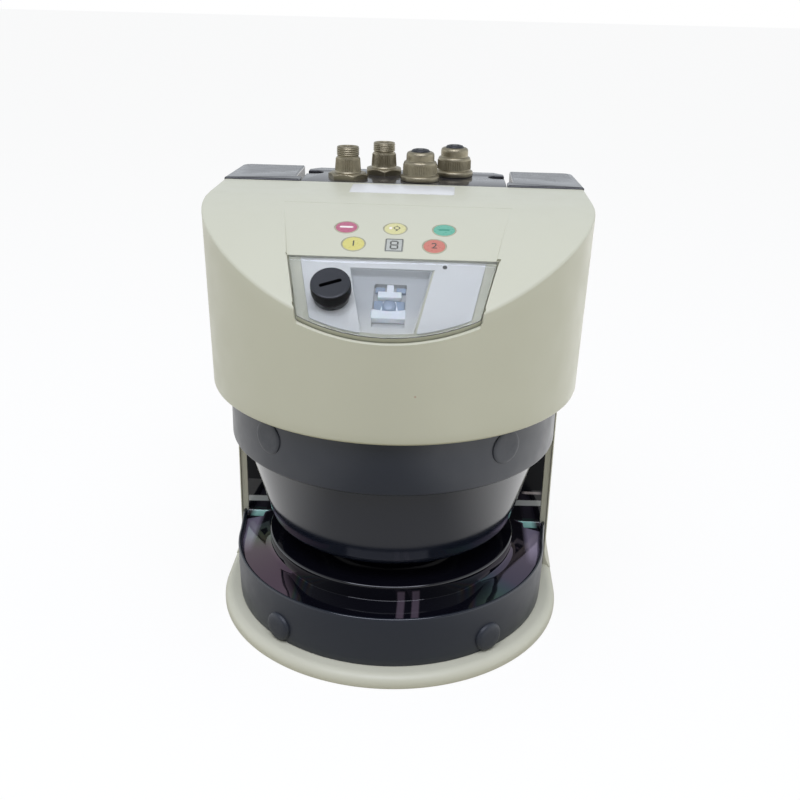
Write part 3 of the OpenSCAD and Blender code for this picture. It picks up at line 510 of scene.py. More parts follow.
def headShell():
    mesh = bmesh.new()
    arcSteps, rearRows, levels, rounding = 120, 14, 30, 5
    edge, bottom = head["edge"], head["bottom"]
    wallHeights = (0, 0.08, 0.2, 0.35, 0.5, 0.65, 0.8, 0.9, 1.0)
    rear = [head["centreY"] + (head["coverY"] - head["centreY"]) * (k + 1) / rearRows for k in range(rearRows)]
    front = [(0, 180 + 180 * i / arcSteps) for i in range(arcSteps + 1)]
    stations = [(-1, y) for y in reversed(rear)] + front + [(1, y) for y in rear]

    def at(station, radius, share=1.0):  # plan point on a station's line, share of the way out from the middle
        side, value = station
        if side:
            return side * share * radius, value
        a = math.radians(value)
        return share * radius * math.cos(a), head["centreY"] + share * radius * math.sin(a)

    def point(station, radius, z):
        return Vector((*at(station, radius), z))

    outer, inner = [], []
    for station in stations:
        top = crownHeight(at(station, headRadius(crownHeight(at(station, headRadius(head["radiusAt"]))[1])))[1])
        ringR = head["flangeR"] + (min(2.2, 0.1 * max(0, station[1] + 7)) if station[0] else 0)
        low = headRadius(bottom)
        column = [point(station, ringR, head["flangeTop"]), point(station, ringR, bottom), point(station, low - edge, bottom)]
        for k in range(1, rounding):
            a = math.pi / 2 * k / rounding
            column.append(point(station, low - edge * (1 - math.sin(a)), bottom + edge * (1 - math.cos(a))))
        for t in wallHeights:
            z = bottom + edge + (top - 2 * edge - bottom) * t
            column.append(point(station, headRadius(z), z))
        start, corner = column[-1], point(station, headRadius(top), top)
        inX, inY = at(station, headRadius(top) - edge)
        end = Vector((inX, inY, crownHeight(inY)))
        for k in range(1, rounding + 1):
            u = k / rounding
            column.append(start * (1 - u) ** 2 + corner * 2 * u * (1 - u) + end * u * u)
        inside = [column[0]]
        for t in (0.0, 0.35, 0.7, 1.0):
            z = head["flangeTop"] + (top - head["wall"] - 1 - head["flangeTop"]) * t
            px, py = at(station, headRadius(z) - head["wall"])
            inside.append(Vector((px, py, min(z, innerTop(px, py)))))
        for k in range(levels):
            reach = (1 - k / levels) / headRadius(top)
            if k:
                px, py = at(station, headRadius(top), (headRadius(top) - edge) * reach)
                column.append(Vector((px, py, crownHeight(py))))
            px, py = at(station, headRadius(top), (headRadius(top) - head["wall"] - 0.8) * reach)
            inside.append(Vector((px, py, innerTop(px, py))))
        y = station[1] if station[0] else head["centreY"]
        outer.append(column + [Vector((0, y, crownHeight(y)))])
        inner.append(inside + [Vector((0, y, innerTop(0, y)))])
    skin(mesh, outer)
    skin(mesh, inner)
    bmesh.ops.remove_doubles(mesh, verts=mesh.verts, dist=0.002)
    bmesh.ops.holes_fill(mesh, edges=[e for e in mesh.edges if e.is_boundary], sides=0)
    return mesh


def tongueCutter():
    rows = []
    for k in range(31):
        y = tongue["start"] - tongue["length"] * k / 30
        top, low = crownHeight(y), tongueHeight(y)
        edge = tongue["half"] + (y - tongue["halfAt"]) * tongue["widening"]
        d = top - low
        side = [(0.5, 175), (0.42, top + 0.03), (0.16, top - 0.1 * d), (0.0, top - 0.42 * d), (-0.1, low + 0.12 * d),
                (-0.35, low)]
        rows.append([Vector((edge + g, y, z)) for g, z in side] + [Vector((-edge - g, y, z)) for g, z in reversed(side)])
    return toObject(newMesh(rows), "cutTongue", housingPlastic)


def frontS(x, radius, deep=1.4):  # how far down the panel an arc about the head's centre lies
    y = head["centreY"] - math.sqrt(radius ** 2 - x ** 2)
    return (panel["y"] - y + deep) / math.cos(panel["tilt"])


def panelOutline(grow, top, radius, steps=28):
    # the clear panel's outline as (x, -s), with its front on an arc about the head's centre
    sides = []
    for way in (1, -1):
        x = panel["x"] + way * 28.5
        for _ in range(6):
            x = panel["x"] + way * (panelHalf(frontS(x, radius)) + grow)
        low = frontS(x, radius)
        down = [top + (low - top) * k / 14 for k in range(15)]
        sides.append([Vector((panel["x"] + way * (panelHalf(s) + grow), -s)) for s in down])
    right, left = sides
    a, b = right[-1].x, left[-1].x
    front = [Vector((x, -frontS(x, radius))) for x in (a + (b - a) * k / steps for k in range(1, steps))]
    across = [Vector((left[0].x + (right[0].x - left[0].x) * k / 12, -top)) for k in range(1, 12)]
    return counterClockwise(right + front + left[::-1] + across)


def panelCutter(name, floor, top, bottomR, frontFree):
    outline = panelOutline(panel["gap"], top, bottomR)
    rows = []
    # each row: how far the outline grows, and how far the row lies above the surface round it
    for grow, lift in ((0, None), (0, -0.55), (0.05, -0.22), (0.16, -0.05), (0.32, 0.02), (0.4, 0.3), (0.4, 40)):
        ring = []
        for p, q in zip(outline, inset(outline, -grow) if grow else outline):
            s = -p.y
            if lift is None:
                n = floor
            elif lift == 40:
                n = 14
            elif s > frontS(p.x, bottomR) - 0.01:
                n = 6 + lift if frontFree else panel["lip"] + 0.3 * lift
            else:
                n = surfaceAbove(q.x, -q.y, tongueHeight if s < top + 0.01 else crownHeight) + lift
            ring.append(panelPoint(q.x, -q.y, max(n, floor + (0.02 if lift is not None else 0))))
        rows.append(ring)
    return toObject(newMesh(rows), name, housingPlastic)


def onTongue(x0, y0):  # a frame standing on the lamp field at that place
    a = math.asin((tongue["y"] - y0) / tongue["radius"])
    foot = Vector((x0, y0, tongueHeight(y0)))
    down, out = Vector((0, math.cos(a), math.sin(a))), Vector((0, -math.sin(a), math.cos(a)))
    return lambda x, y, z: foot + Vector((x, 0, 0)) + down * y + out * z


# places on the lamp field
lamps = {"lamp_red": (-16.2, -22.75), "lamp_pale": (0.3, -22.75), "lamp_green": (16.8, -22.75), "lamp_amber": (-13.0, -32.0),
         "lamp_orange": (13.8, -32.0), "disc": 3.62, "hole": 4.12}
lampAt = {node: onTongue(*lamps[node]) for node in lampPaint}
display = {"x": 0.5, "y": -32.0, "width": 5.9, "height": 6.9}
tray = {"half": 13.5, "top": 3.5, "taper": 0.193, "frontR": 65.1}
cap = {"x": -18, "s": 15.8, "radius": 6.45, "top": 5.4, "slot": (7.4, 1.35, 1.7), "turn": 22, "hole": 5.85}


def trayOutline(grow):  # the tray's front follows the head's wall
    radius = tray["frontR"] + grow

    def half(s):
        return tray["half"] - tray["taper"] * (s - tray["top"]) + grow
    x = half(frontS(8.5, radius))
    top = tray["top"] - grow
    front = [Vector((a, -frontS(a, radius))) for a in (x * (1 - k / 7) for k in range(15))]
    return counterClockwise([Vector((-half(top), -top)), Vector((half(top), -top))] + front)


print("stage: building the head")
headCover = toObject(headShell(), "headCut", housingPlastic)
displayAt = onTongue(display["x"], display["y"])
carve(headCover, [tongueCutter(), panelCutter("cutRecess", panel["floor"], -0.55, panel["frontR"], False),
                  panelCutter("cutLip", panel["lip"], 21.5, 76, True)]
      + [cutter(circle(0, 0, lamps["hole"]), -0.5, 3, place) for place in lampAt.values()]
      + [cutter(boxOutline(-3.05, -3.55, 3.05, 3.55, 0.5), -0.5, 3, displayAt), cutter(trayOutline(0.1), -18, -2, onPanel),
         cutter(circle(cap["x"], -cap["s"], cap["hole"]), -18, -1, onPanel)])


def planHalf(y):  # half-width of the head behind the cover's front line
    return 69.92 - (y - head["coverY"]) * 0.052


def drafted(x, y, z):
    return Vector((x * min(1, headRadius(z) / planHalf(y)), y, z))


def rearShell():
    y0, y1, w, v, t = head["coverY"], head["rearY"], planHalf(head["coverY"]), head["rearHalf"], head["wall"]
    outer = fillet([(-w, y0, 0), (-v, y1, head["corner"]), (v, y1, head["corner"]), (w, y0, 0)], loop=False, steps=7)
    inside = fillet([(w - t, y0, 0), (v - t, y1 - t, 2), (t - v, y1 - t, 2), (t - w, y0, 0)], loop=False)
    return newMesh(prismRows(outer + inside, head["bottom"], head["rimZ"], top=0.15, bottom=head["edge"], place=drafted))


def joined(meshes):
    whole = bmesh.new()
    for mesh in meshes:
        data = bpy.data.meshes.new("part")
        mesh.to_mesh(data)
        mesh.free()
        whole.from_mesh(data)
        bpy.data.meshes.remove(data)
    return whole


front = bmesh.new()
front.from_mesh(headCover.data)
bmesh.ops.scale(front, vec=(1 / millimetre,) * 3, verts=front.verts)
remove(headCover)
headCover = finish(joined([front, rearShell()]), "headShell", housingPlastic, "housing", replaced=("head_cover",))
print("stage: head shell", len(headCover.data.polygons), "faces")

plate = {"half": 40.2, "front": 34.35, "rear": 67.4, "cut": 4, "low": 150.55, "step": 154.0, "top": 160.0,
         "slotX": 33.6, "slotY": 56, "slotR": 3.6}
blocks = {"low": 148, "top": 160.7, "inner": 42.75, "nose": 40.5, "stepY": 41.6}


def rearCover():
    w, y0, y1, inner = planHalf(head["coverY"]) + 0.06, head["coverY"] + 0.1, head["rearY"] - 0.02, blocks["inner"]
    half = [(w, y0, 0.5), (head["rearHalf"], y1, head["corner"]), (inner, y1, 0.6), (inner, blocks["stepY"], 0.6),
            (blocks["nose"], blocks["stepY"], 0.4), (blocks["nose"], y0, 0.3)]
    sides = [fillet([(side * x, y, r) for x, y, r in half], steps=6) for side in (1, -1)]
    sill = boxOutline(-42, blocks["stepY"], 42, y1 - 0.3, 0.3)
    parts = [prismRows(outline, blocks["low"], blocks["top"], top=0.7, bottom=0.1, steps=4, place=drafted) for outline in sides]
    return newMesh(*parts, prismRows(sill, 148.05, 150.4, top=0.2, bottom=0))


def connectorPlate():
    # one outline whose ends have a slot with a round bottom for each screw
    h, c, middle, r = plate["half"], plate["cut"], plate["slotY"], plate["slotR"]
    slot = [Vector((plate["slotX"] + r - p.x, p.y)) for p in arc(0, middle, r, -90, 90, 14)]
    slot = [Vector((h, middle - r))] + slot + [Vector((h, middle + r))]
    start, end = [Vector((h, plate["front"]))], [Vector((h, plate["rear"] - c)), Vector((h - c, plate["rear"]))]
    upper, lower = start + slot + end, start + end
    return newMesh(prismRows(upper + flipped(upper), plate["step"], plate["top"], top=0.45, bottom=0, steps=4),
                   prismRows(lower + flipped(lower), plate["low"], plate["step"], top=0, bottom=0.1))


finish(rearCover(), "rearCover", coverPlastic, "grey_plastic", replaced=("rear_cover",))
finish(connectorPlate(), "connectorPlate", coverPlastic, "grey_plastic", replaced=("connector_plate",))
print("stage: rear cover")

# profiles of the scan window run as (radius, height)
scanWindow = {"ringR": 61.5, "under": 73.7, "top": 96.45, "bowlR": 6, "bowlX": 42.4, "bowlZ": 43.4, "lean": 15.9,
              "bowlTop": 57.3, "wall": 2.4, "slope": 1.5, "pedestal": 48.65, "table": 30.5, "floor": 24.5,
              "wallHalf": 61.1, "mirrorHole": (-34, 40.5, 34, 95), "rearY": 15.0, "frontY": -2}


def windowPoint(r, z, station, lineSteps=6, arcSteps=120):
    # stations run from the rear left, round the front, to the rear right
    last = 2 * lineSteps + arcSteps
    if lineSteps <= station <= last - lineSteps:
        start = math.pi + math.asin(-scanWindow["frontY"] / r)
        a = start + (3 * math.pi - 2 * start) * (station - lineSteps) / arcSteps
        return Vector((r * math.cos(a), r * math.sin(a), z))
    side, k = (-1, station) if station < lineSteps else (1, last - station)
    y = scanWindow["rearY"] + (scanWindow["frontY"] - scanWindow["rearY"]) * k / lineSteps
    blend = smoothStep((r - 57) / 2.5)
    line = r - 0.9 + 2.8 * (y + 10) / 26
    return Vector((side * (line * blend + math.sqrt(r * r - y * y) * (1 - blend)), y, z))


def windowSolid(profile, stations=133):
    return newMesh([[windowPoint(r, z, k) for r, z in profile] for k in range(stations)])


def upperRing():
    r, z0, z1 = scanWindow["ringR"], scanWindow["under"], scanWindow["top"]
    return windowSolid([(r - 2.6, z1), (r - 0.4, z1), (r, z1 - 0.4), (r, 85), (r, z0 + 0.9), (r - 0.12, z0 + 0.4),
                        (r - 0.4, z0 + 0.1), (r - 0.9, z0), (r - 3, z0), (55.2, z0), (53, z0 + 1.5), (53, z0 + 2.6),
                        (r - 2.6, z0 + 2.6)])


def bowl():
    cx, cz, r, top = (scanWindow[k] for k in ("bowlX", "bowlZ", "bowlR", "bowlTop"))
    lean, wall, high = scanWindow["lean"], scanWindow["wall"], 73.9
    side = arc(cx, cz, r, -lean, -88, 14)
    x, z = side[0]
    outer = [(top + (x - top) * k / 8, high + (z - high) * k / 8) for k in range(8)]
    return windowSolid(outer + side + [(29.0, 37.45), (28.2, 39.0)] + arc(cx, cz, r - wall, -86, -lean, 8)
                       + [(top - wall - 0.05, high)])


def glossTray():
    f, t, p, wall = scanWindow["floor"], scanWindow["table"], scanWindow["pedestal"], scanWindow["wall"]
    mesh = windowSolid([(28.4, 38.4), (30.6, 37.5)] + arc(31.1, 36.3, 1.1, 150, 180, 3) + arc(31.6, 33.0, 1.6, 180, 270, 6)
                       + [(40, t), (44, t)] + arc(p - 0.8, t - 0.8, 0.8, 90, 0, 6)
                       + [(p, 28.5), (p, f + 0.06), (p + 0.06, f), (51, f), (54, f), (57, f), (60.0, f), (60.0, f - 2.2),
                          (p - wall, f - 2.2), (p - wall, t - wall), (28.4, t - wall)])
    for v in mesh.verts:  # at the sides the floor falls outwards, for water to run off
        if abs(v.co.z - f) < 0.1 and math.hypot(v.co.x, v.co.y) < 63.4:
            share = (54.3 - math.hypot(v.co.x, min(0, v.co.y))) / 5.7
            v.co.z += scanWindow["slope"] * smoothStep((abs(v.co.x) - 26) / 16) * share
    return mesh


def lowerRing():
    r, f = scanWindow["ringR"], scanWindow["floor"]
    return windowSolid([(59.9, f - 2.2), (59.9, f - 0.6), (60.05, f + 0.2), (60.45, f + 0.68), (60.8, f + 0.8),
                        (61.2, f + 0.7), (61.42, f + 0.4), (r - 0.02, f - 0.1), (r - 0.15, 17), (r - 0.4, 8),
                        (r - 0.55, 5.4), (r - 0.8, 5.05), (58.4, 5.05), (58.9, 15)])


def rearWall():
    f = scanWindow["floor"]
    profile = [(15.98, 5.05), (13.4, 5.05), (13.4, f - 2.2), (10.6, f - 2.2), (10.6, f + 0.01)] \
        + arc(13.8, f + 1.2, 1.2, 270, 360, 6)[1:] + [(15, 32), (15, 39.5), (15, 50), (15, 73), (15, 96.4), (15.98, 96.4)]
    return newMesh([[Vector((scanWindow["wallHalf"] * (k / 12 - 1), y, z)) for y, z in profile] for k in range(25)])


def paintAbove(made, height, material):  # another finish on the faces above that height
    made.data.materials.append(material)
    for face in made.data.polygons:
        face.material_index = int(face.center.z > height * millimetre)


for name, build, material in (("upperRing", upperRing, ringPlastic), ("scanBowl", bowl, bowlPlastic),
                              ("glossTray", glossTray, coatedPlastic), ("lowerRing", lowerRing, ringPlastic),
                              ("rearWall", rearWall, glossPlastic)):
    made = toObject(build(), name, material, 40)
    if name == "rearWall":  # open behind the bowl, where the mirror turns
        hole = boxOutline(*scanWindow["mirrorHole"], 2)
        carve(made, [cutter(hole, -25, 0, lambda x, y, z: Vector((x, -z, y)))], 40)
        paintAbove(made, 39.3, wallPlastic)
    if name == "lowerRing":
        paintAbove(made, 24.75, edgePlastic)
    settle(made, "scan_window", replaced=("optics_cover",))
print("stage: scan window")

# angle from the front, height, distance in from the ring's face, and the profile
plugs = {
    "upper": (41.5, 86.5, 0, [(0, 0.5), (3, 0.5), (4.8, 0.46), (5.6, 0.36), (6.0, 0.12), (6.1, -0.2), (6.1, -1.6), (0, -1.6)]),
    "lower": (39, 10.8, 0.35, [(0, 1.8), (2.5, 1.78), (4.2, 1.6), (5.0, 1.2), (5.45, 0.6), (5.55, 0.0), (5.55, -1.6),
                               (0, -1.6)])}


def ringPlace(angle, z0, r):
    a = math.radians(angle)
    out, along = Vector((math.sin(a), -math.cos(a), 0)), Vector((math.cos(a), math.sin(a), 0))
    return lambda x, y, z: out * (r + z) + along * x + Vector((0, 0, z0 + y))


for level, (angle, z0, depth, profile) in plugs.items():
    for side, sign in (("left", -1), ("right", 1)):
        mesh = turned(profile, 56, ringPlace(sign * angle, z0, scanWindow["ringR"] - depth))
        finish(mesh, level + side.capitalize() + "Plug", plugNylon, "black_plastic", replaced=(level + "_plug_" + side,))
print("stage: plugs")

base = {"radius": 67.47, "height": 5.0, "rim": 3.6, "corner": 4.2, "inner": 63.7, "frontY": 14.4, "lip": 61.2, "lipY": 15.04,
        "rear": 67.5}


def basePlate():
    r = base["radius"]
    rear = fillet([(r, 0, 0), (r, r, base["corner"]), (-r, r, base["corner"]), (-r, 0, 0)], loop=False, steps=7)[1:-1]
    return prismRows(arc(0, 0, r, 180, 360, 120) + rear, 0, base["height"], top=base["rim"], bottom=0.7, steps=7)


def columnHalf(y):
    if y < 34:
        return 64.4 + (y - base["frontY"]) * 2.2 / 19.6
    return min(base["rear"], 66.6 + (y - 34) * 0.9 / 12)


def columnRows():
    y0, lip, lipY, inner, rear = base["frontY"], base["lip"], base["lipY"], base["inner"], base["rear"]
    inside = [Vector(p) for p in (
        (60.5, 64.5), (inner, 61), (inner, 40), (inner, lipY + 2.4), (lip + 0.2, lipY + 1.7), (lip, lipY + 1.5),
        (lip, lipY + 0.15), (lip + 0.15, lipY), (inner - 0.05, lipY), (inner, y0 + 0.3), (inner + 0.25, y0))]
    rows = []
    for z in (3.6, 4.4, 5.0, 5.6, 6.4, 7.5, 9, 11, 14, 20, 30, 45, 60, 70, 76, 80, 84, 87, 90, 92, 93.75):
        foot = max(0, (13 - z) / 9) ** 2.2
        crown = max(0, (z - 74) / 19.75) ** 2.0

        def grow(y):  # the column flares at its foot and under the head
            return columnHalf(y) + foot * max(0, 67.3 - columnHalf(y)) * 0.9 + crown * max(0, 67.9 - columnHalf(y))
        right = [Vector((grow(y0) - 0.35, y0)), Vector((grow(y0) - 0.1, y0 + 0.2))] \
            + [Vector((grow(y), y)) for y in (15.2, 18, 22, 26, 30, 34, 40, 46, 54)] \
            + fillet([(grow(54), 54, 0), (rear, rear, base["corner"]), (0, rear, 0)], loop=False, steps=7)[1:-1]
        # round the outside from front right to front left, then back along the inside
        rows.append([Vector((p.x, p.y, z)) for p in right + flipped(right) + flipped(inside) + inside])
    return rows


finish(newMesh(basePlate(), columnRows()), "baseFrame", basePlastic, "housing", replaced=("base_frame",))
print("stage: base")

# the clear panel and what lies behind it
clear = prismRows(panelOutline(-0.05, 0.35, panel["plateR"]), -panel["plate"], 0, top=0.35, bottom=0.1, steps=4, place=onPanel)
clearPanel = finish(newMesh(clear), "clearPanel", clearPlastic, "clear_plastic", replaced=("panel_window",))
outwards = Vector((0, -math.sin(panel["tilt"]), math.cos(panel["tilt"])))


def paintSides(made, limit, material):  # another finish on the faces that stand upright on the panel
    made.data.materials.append(material)
    for face in made.data.polygons:
        face.material_index = int(abs(face.normal.dot(outwards)) < limit)


paintSides(clearPanel, 0.5, frostedEdge)

# each edge of the two halves as (x at the panel's top, change per mm down)
sheet = {"left": (-29.63, 0.24), "right": (30.83, -0.2), "cutLeft": (-13.96, 0.215), "cutRight": (14.93, -0.19),
         "top": -0.45, "cutTop": 3.7, "foot": 22.2, "cutFoot": 28.7, "high": -2.68, "low": -2.98, "deep": 1.548656}


def backingSheet():
    def edge(key, s):
        return sheet[key][0] + sheet[key][1] * s
    sides = []
    for side, cut in (("left", "cutLeft"), ("right", "cutRight")):
        outer, inner = edge(side, sheet["foot"]), edge(cut, sheet["cutFoot"])
        corners = [(edge(side, sheet["top"]), -sheet["top"], 0)]
        for k in range(11):
            x = outer + (inner - outer) * k / 10
            corners.append((x, -frontS(x, panel["sheetR"], sheet["deep"]), {0: 1.0, 10: 0.4}.get(k, 0)))
        corners.append((edge(cut, sheet["cutTop"]), -sheet["cutTop"], 0.3))
        sides.append(fillet(corners, loop=False, steps=4) + [Vector(corners[-1][:2])])
    outline = sides[0] + sides[1][::-1]
    return newMesh(prismRows(outline, sheet["low"], sheet["high"], top=0.04, bottom=0, steps=1, place=onPanel))


finish(backingSheet(), "backingSheet", sheetFilm, "white_sheet", replaced=("panel_sheet",))
print("stage: panel")

# service cap, with its coin slot and seal
high, edgeR, onCap = cap["top"], cap["radius"], panelAt(cap["x"], cap["s"])
knob = turned([(0, high - 0.14), (3.4, high - 0.13), (5.3, high - 0.05), (edgeR - 0.62, high), (edgeR - 0.4, high - 0.06),
               (edgeR - 0.16, high - 0.26), (edgeR - 0.04, high - 0.55), (edgeR, high - 1.0), (edgeR, 1.7), (edgeR - 0.08, 1.3),
               (edgeR - 0.3, 1.06), (3.92, 1.06), (3.92, -7.7), (3.6, -8), (0, -8)], 72, onCap)
serviceKnob = toObject(knob, "serviceKnob", knobAcetal)
length, width, depth = cap["slot"]
turn = Matrix.Rotation(math.radians(cap["turn"]), 2)
coinSlot = [turn @ p for p in boxOutline(-length / 2, -width / 2, length / 2, width / 2, width * 0.45)]
carve(serviceKnob, [cutter(coinSlot, high - depth, high + 2, onCap, bottom=0.2)])
# the knob's side gets the darker copy of the acetal: painted shade
paintSides(serviceKnob, 0.6, knobShadedSide)
settle(serviceKnob, "black_plastic", body="cap", replaced=("service_cap",))
seal = turned([(4.05, 0.1), (4.05, 0.9), (4.15, 0.98), (5.5, 0.98), (5.75, 0.9), (5.85, 0.7), (5.85, 0.35), (5.75, 0.1),
               (5.5, 0.02), (4.15, 0.02), (4.05, 0.1)], 60, onCap)
finish(seal, "capSeal", nitrileRubber, "rubber", body="cap_ring", replaced=("cap_seal",))

# heights out of the panel, and outlines as x0, y0, x1, y1
sensor = {"wall": 0.5, "top": -3.14, "floor": -7.2, "pocketTop": -5.6, "pocket": (-4.9, -24.3, 5.5, -7.4),
          "tub": (-4.6, -17.3, 5.2, -13.0), "bar1": (-3.5, -12.9, 3.95, -10.45), "bar2": (-5.25, -21.2, 5.6, -17.4),
          "stem": (-0.85, -10.6, 1.35, -7.5), "eye": (0.3, 15.2)}


def sensorTray():  # a sloping-sided tub with a sunk pocket for the sensor
    rim, wall, top, deep = trayOutline(0), sensor["wall"], sensor["top"], sensor["pocketTop"]
    return newMesh([[onPanel(p.x, p.y, n) for p in (inset(rim, d) if d else rim)] for d, n in (
        (0, sensor["floor"] - 1.2), (0, top - 0.1), (0.08, top), (wall - 0.1, top), (wall, top - 0.12),
        (wall + 0.35, deep + 0.3), (wall + 0.7, deep))])


trayObject = toObject(sensorTray(), "sensorTray", trayPlastic)
carve(trayObject, [cutter(boxOutline(*sensor["pocket"], 0.5), sensor["floor"], 0, onPanel, bottom=0.2)])
settle(trayObject, "white_sheet", replaced=("sensor_tray",))


def barRows(key, low, high, dip=0.0):
    x0, y0, x1, y1 = sensor[key]
    top = [(x1, y1, 0.3), (x0, y1, 0.3)]
    if dip:
        top = [(x1 - (x1 - x0) * k / 10, y1 - dip * math.sin(math.pi * k / 10), 0) for k in range(11)]
    return prismRows(fillet([(x0, y0, 0.3), (x1, y0, 0.3)] + top, steps=3), low, high, top=0.25, bottom=0, place=onPanel)


stem = prismRows(boxOutline(*sensor["stem"], 0.25), -6.4, -5.6, top=0.2, bottom=0, place=onPanel)
finish(newMesh(barRows("bar1", -6.6, -5.3), barRows("bar2", -6.9, -5.2, dip=0.75), stem), "lightGuides", guidePlastic,
       "white_diffuser", replaced=("light_bars",))

eye = turned([(0, -5.5), (0.8, -5.56), (1.5, -5.75), (2.0, -6.1), (2.15, -6.4), (2.5, -6.45), (2.5, -6.9), (0, -6.9)], 40,
             panelAt(*sensor["eye"]))
for box, r, z in ((sensor["tub"], 0.4, -6.6), ((-4.4, -10.0, -1.4, -8.1), 0.25, -6.2), ((2.2, -10.0, 5.2, -8.1), 0.25, -6.2)):
    closed(eye, prismRows(boxOutline(*box, r), sensor["floor"] + 0.02, z, top=0.15, bottom=0, place=onPanel))
finish(eye, "sensorEye", lensGlass, "lens_glass", replaced=("sensor_lens",))
strokes = [prismRows([Vector(p) for p in ((a, -16.9), (a + 0.55, -16.9), (b + 0.5, -13.4), (b, -13.4))], -6.65, -6.42,
                     top=0.1, bottom=0, steps=2, place=onPanel) for a, b in ((-2.5, -1.7), (2.6, 1.9))]
finish(newMesh(*strokes), "sensorStrokes", guidePlastic, "white_diffuser")
dot = turned([(0, -2.655), (0.72, -2.655), (0.78, -2.67), (0, -2.67)], 24, panelAt(17.5, 2.4))
finish(dot, "statusDot", nitrileRubber, "rubber")
print("stage: panel details")

bezels = bmesh.new()
r = lamps["disc"]
for node, paint in lampPaint.items():
    disc = turned([(0, 0.1), (3.1, 0.09), (3.45, 0.05), (r, -0.04), (r, -2.8), (0, -2.8)], 64, lampAt[node])
    finish(disc, "lamp" + node[len("lamp_"):].capitalize(), paint, node, replaced=(node,))
    lathe(bezels, [(3.64, -0.1), (3.66, 0.0), (3.8, 0.04), (3.96, 0.0), (4.04, -0.1), (4.04, -2.6), (3.64, -2.6), (3.64, -0.1)],
          64, lampAt[node])
finish(bezels, "lampBezels", bezelPlastic, "grey_plastic")


def sign(text, size, at, thick=0.05, foot=0.13):
    # a glyph from Blender's own font, made a mesh first and then laid on the lamp
    curve = bpy.data.curves.new("sign", "FONT")
    curve.body, curve.size, curve.align_x, curve.align_y = text, size, "CENTER", "CENTER"
    curve.extrude = thick / 2
    curve.resolution_u = 4
    holder = show(bpy.data.objects.new("sign", curve))
    data = bpy.data.meshes.new_from_object(holder.evaluated_get(bpy.context.evaluated_depsgraph_get()))
    mesh = bmesh.new()
    mesh.from_mesh(data)
    bpy.data.objects.remove(holder)
    bpy.data.curves.remove(curve)
    bpy.data.meshes.remove(data)
    for v in mesh.verts:
        v.co = at(v.co.x, v.co.y, v.co.z + foot)
    return mesh


def slab(at, x0, y0, x1, y1, r, low=0.02, high=0.12):
    return prismRows(boxOutline(x0, y0, x1, y1, r, steps=4), low, high, top=0.03, bottom=0, steps=2, place=at)


# the pale lamp's sign is a bulb: a ring with four rays
bulbAt = lampAt["lamp_pale"]
bulb = turned([(0.75, 0.02), (0.75, 0.13), (1.05, 0.13), (1.05, 0.02)], 36, lambda x, y, z: bulbAt(x + 0.55, y + 0.25, z))
for ray in ((0.2, -1.55, 0.9, -1.0), (-0.75, 0.1, -0.4, 0.4), (1.5, 0.1, 1.85, 0.4), (0.4, 1.45, 0.7, 1.8)):
    closed(bulb, slab(bulbAt, *ray, 0.1, high=0.13))
figures = [sign("1", 4.2, lampAt["lamp_amber"]), sign("2", 4.2, lampAt["lamp_orange"])]
finish(joined([bulb, *figures]), "darkSigns", signInk, "rubber")
finish(newMesh(slab(lampAt["lamp_green"], -1.9, -0.5, 1.9, 0.5, 0.45)), "greenSign", greenInk, "lamp_green")
finish(newMesh(slab(lampAt["lamp_red"], -2.3, -0.55, 2.3, 0.55, 0.5), slab(bulbAt, -2.0, -0.6, -1.1, 0.9, 0.3)), "paleSigns",
       paleInk, "white_label")

w, h = display["width"] / 2, display["height"] / 2
finish(newMesh(prismRows(boxOutline(-w, -h, w, h, 0.4), -2.6, -0.02, top=0.1, bottom=0, steps=2, place=displayAt)),
       "displayWindow", displayPlastic, "display_grey", replaced=("display_window",))


def segment(x0, y0, x1, y1, half=0.27):  # one bar of the figure, with pointed ends
    a, b = Vector((x0, y0)), Vector((x1, y1))
    along = (b - a).normalized() * half
    side = Vector((-along.y, along.x))
    return prismRows([a, a + along + side, b - along + side, b, b - along - side, a + along - side], -0.03, 0.03, top=0,
                     bottom=0, place=displayAt)


figure = [segment(-1.05, y, 1.05, y) for y in (2.1, 0, -2.1)] \
    + [segment(x, y, x, y + 1.9) for y in (0.1, -2.0) for x in (-1.15, 1.15)]
border = ((-w + 0.15, -h + 0.15, w - 0.15, -h + 0.4), (-w + 0.15, h - 0.4, w - 0.15, h - 0.15),
          (-w + 0.15, -h + 0.4, -w + 0.4, h - 0.4), (w - 0.4, -h + 0.4, w - 0.15, h - 0.4))
figure += [slab(displayAt, *bar, 0.05, low=-0.03, high=0.03) for bar in border]
finish(newMesh(*figure), "displayFigure", signInk, "rubber")
finish(newMesh(prismRows(boxOutline(-19, 14, 20, 31, 1.2), 159.99, 160.16, top=0.05, bottom=0, steps=2)), "blankLabel",
       labelFilm, "white_label", replaced=("blank_label",))
print("stage: lamps and display")


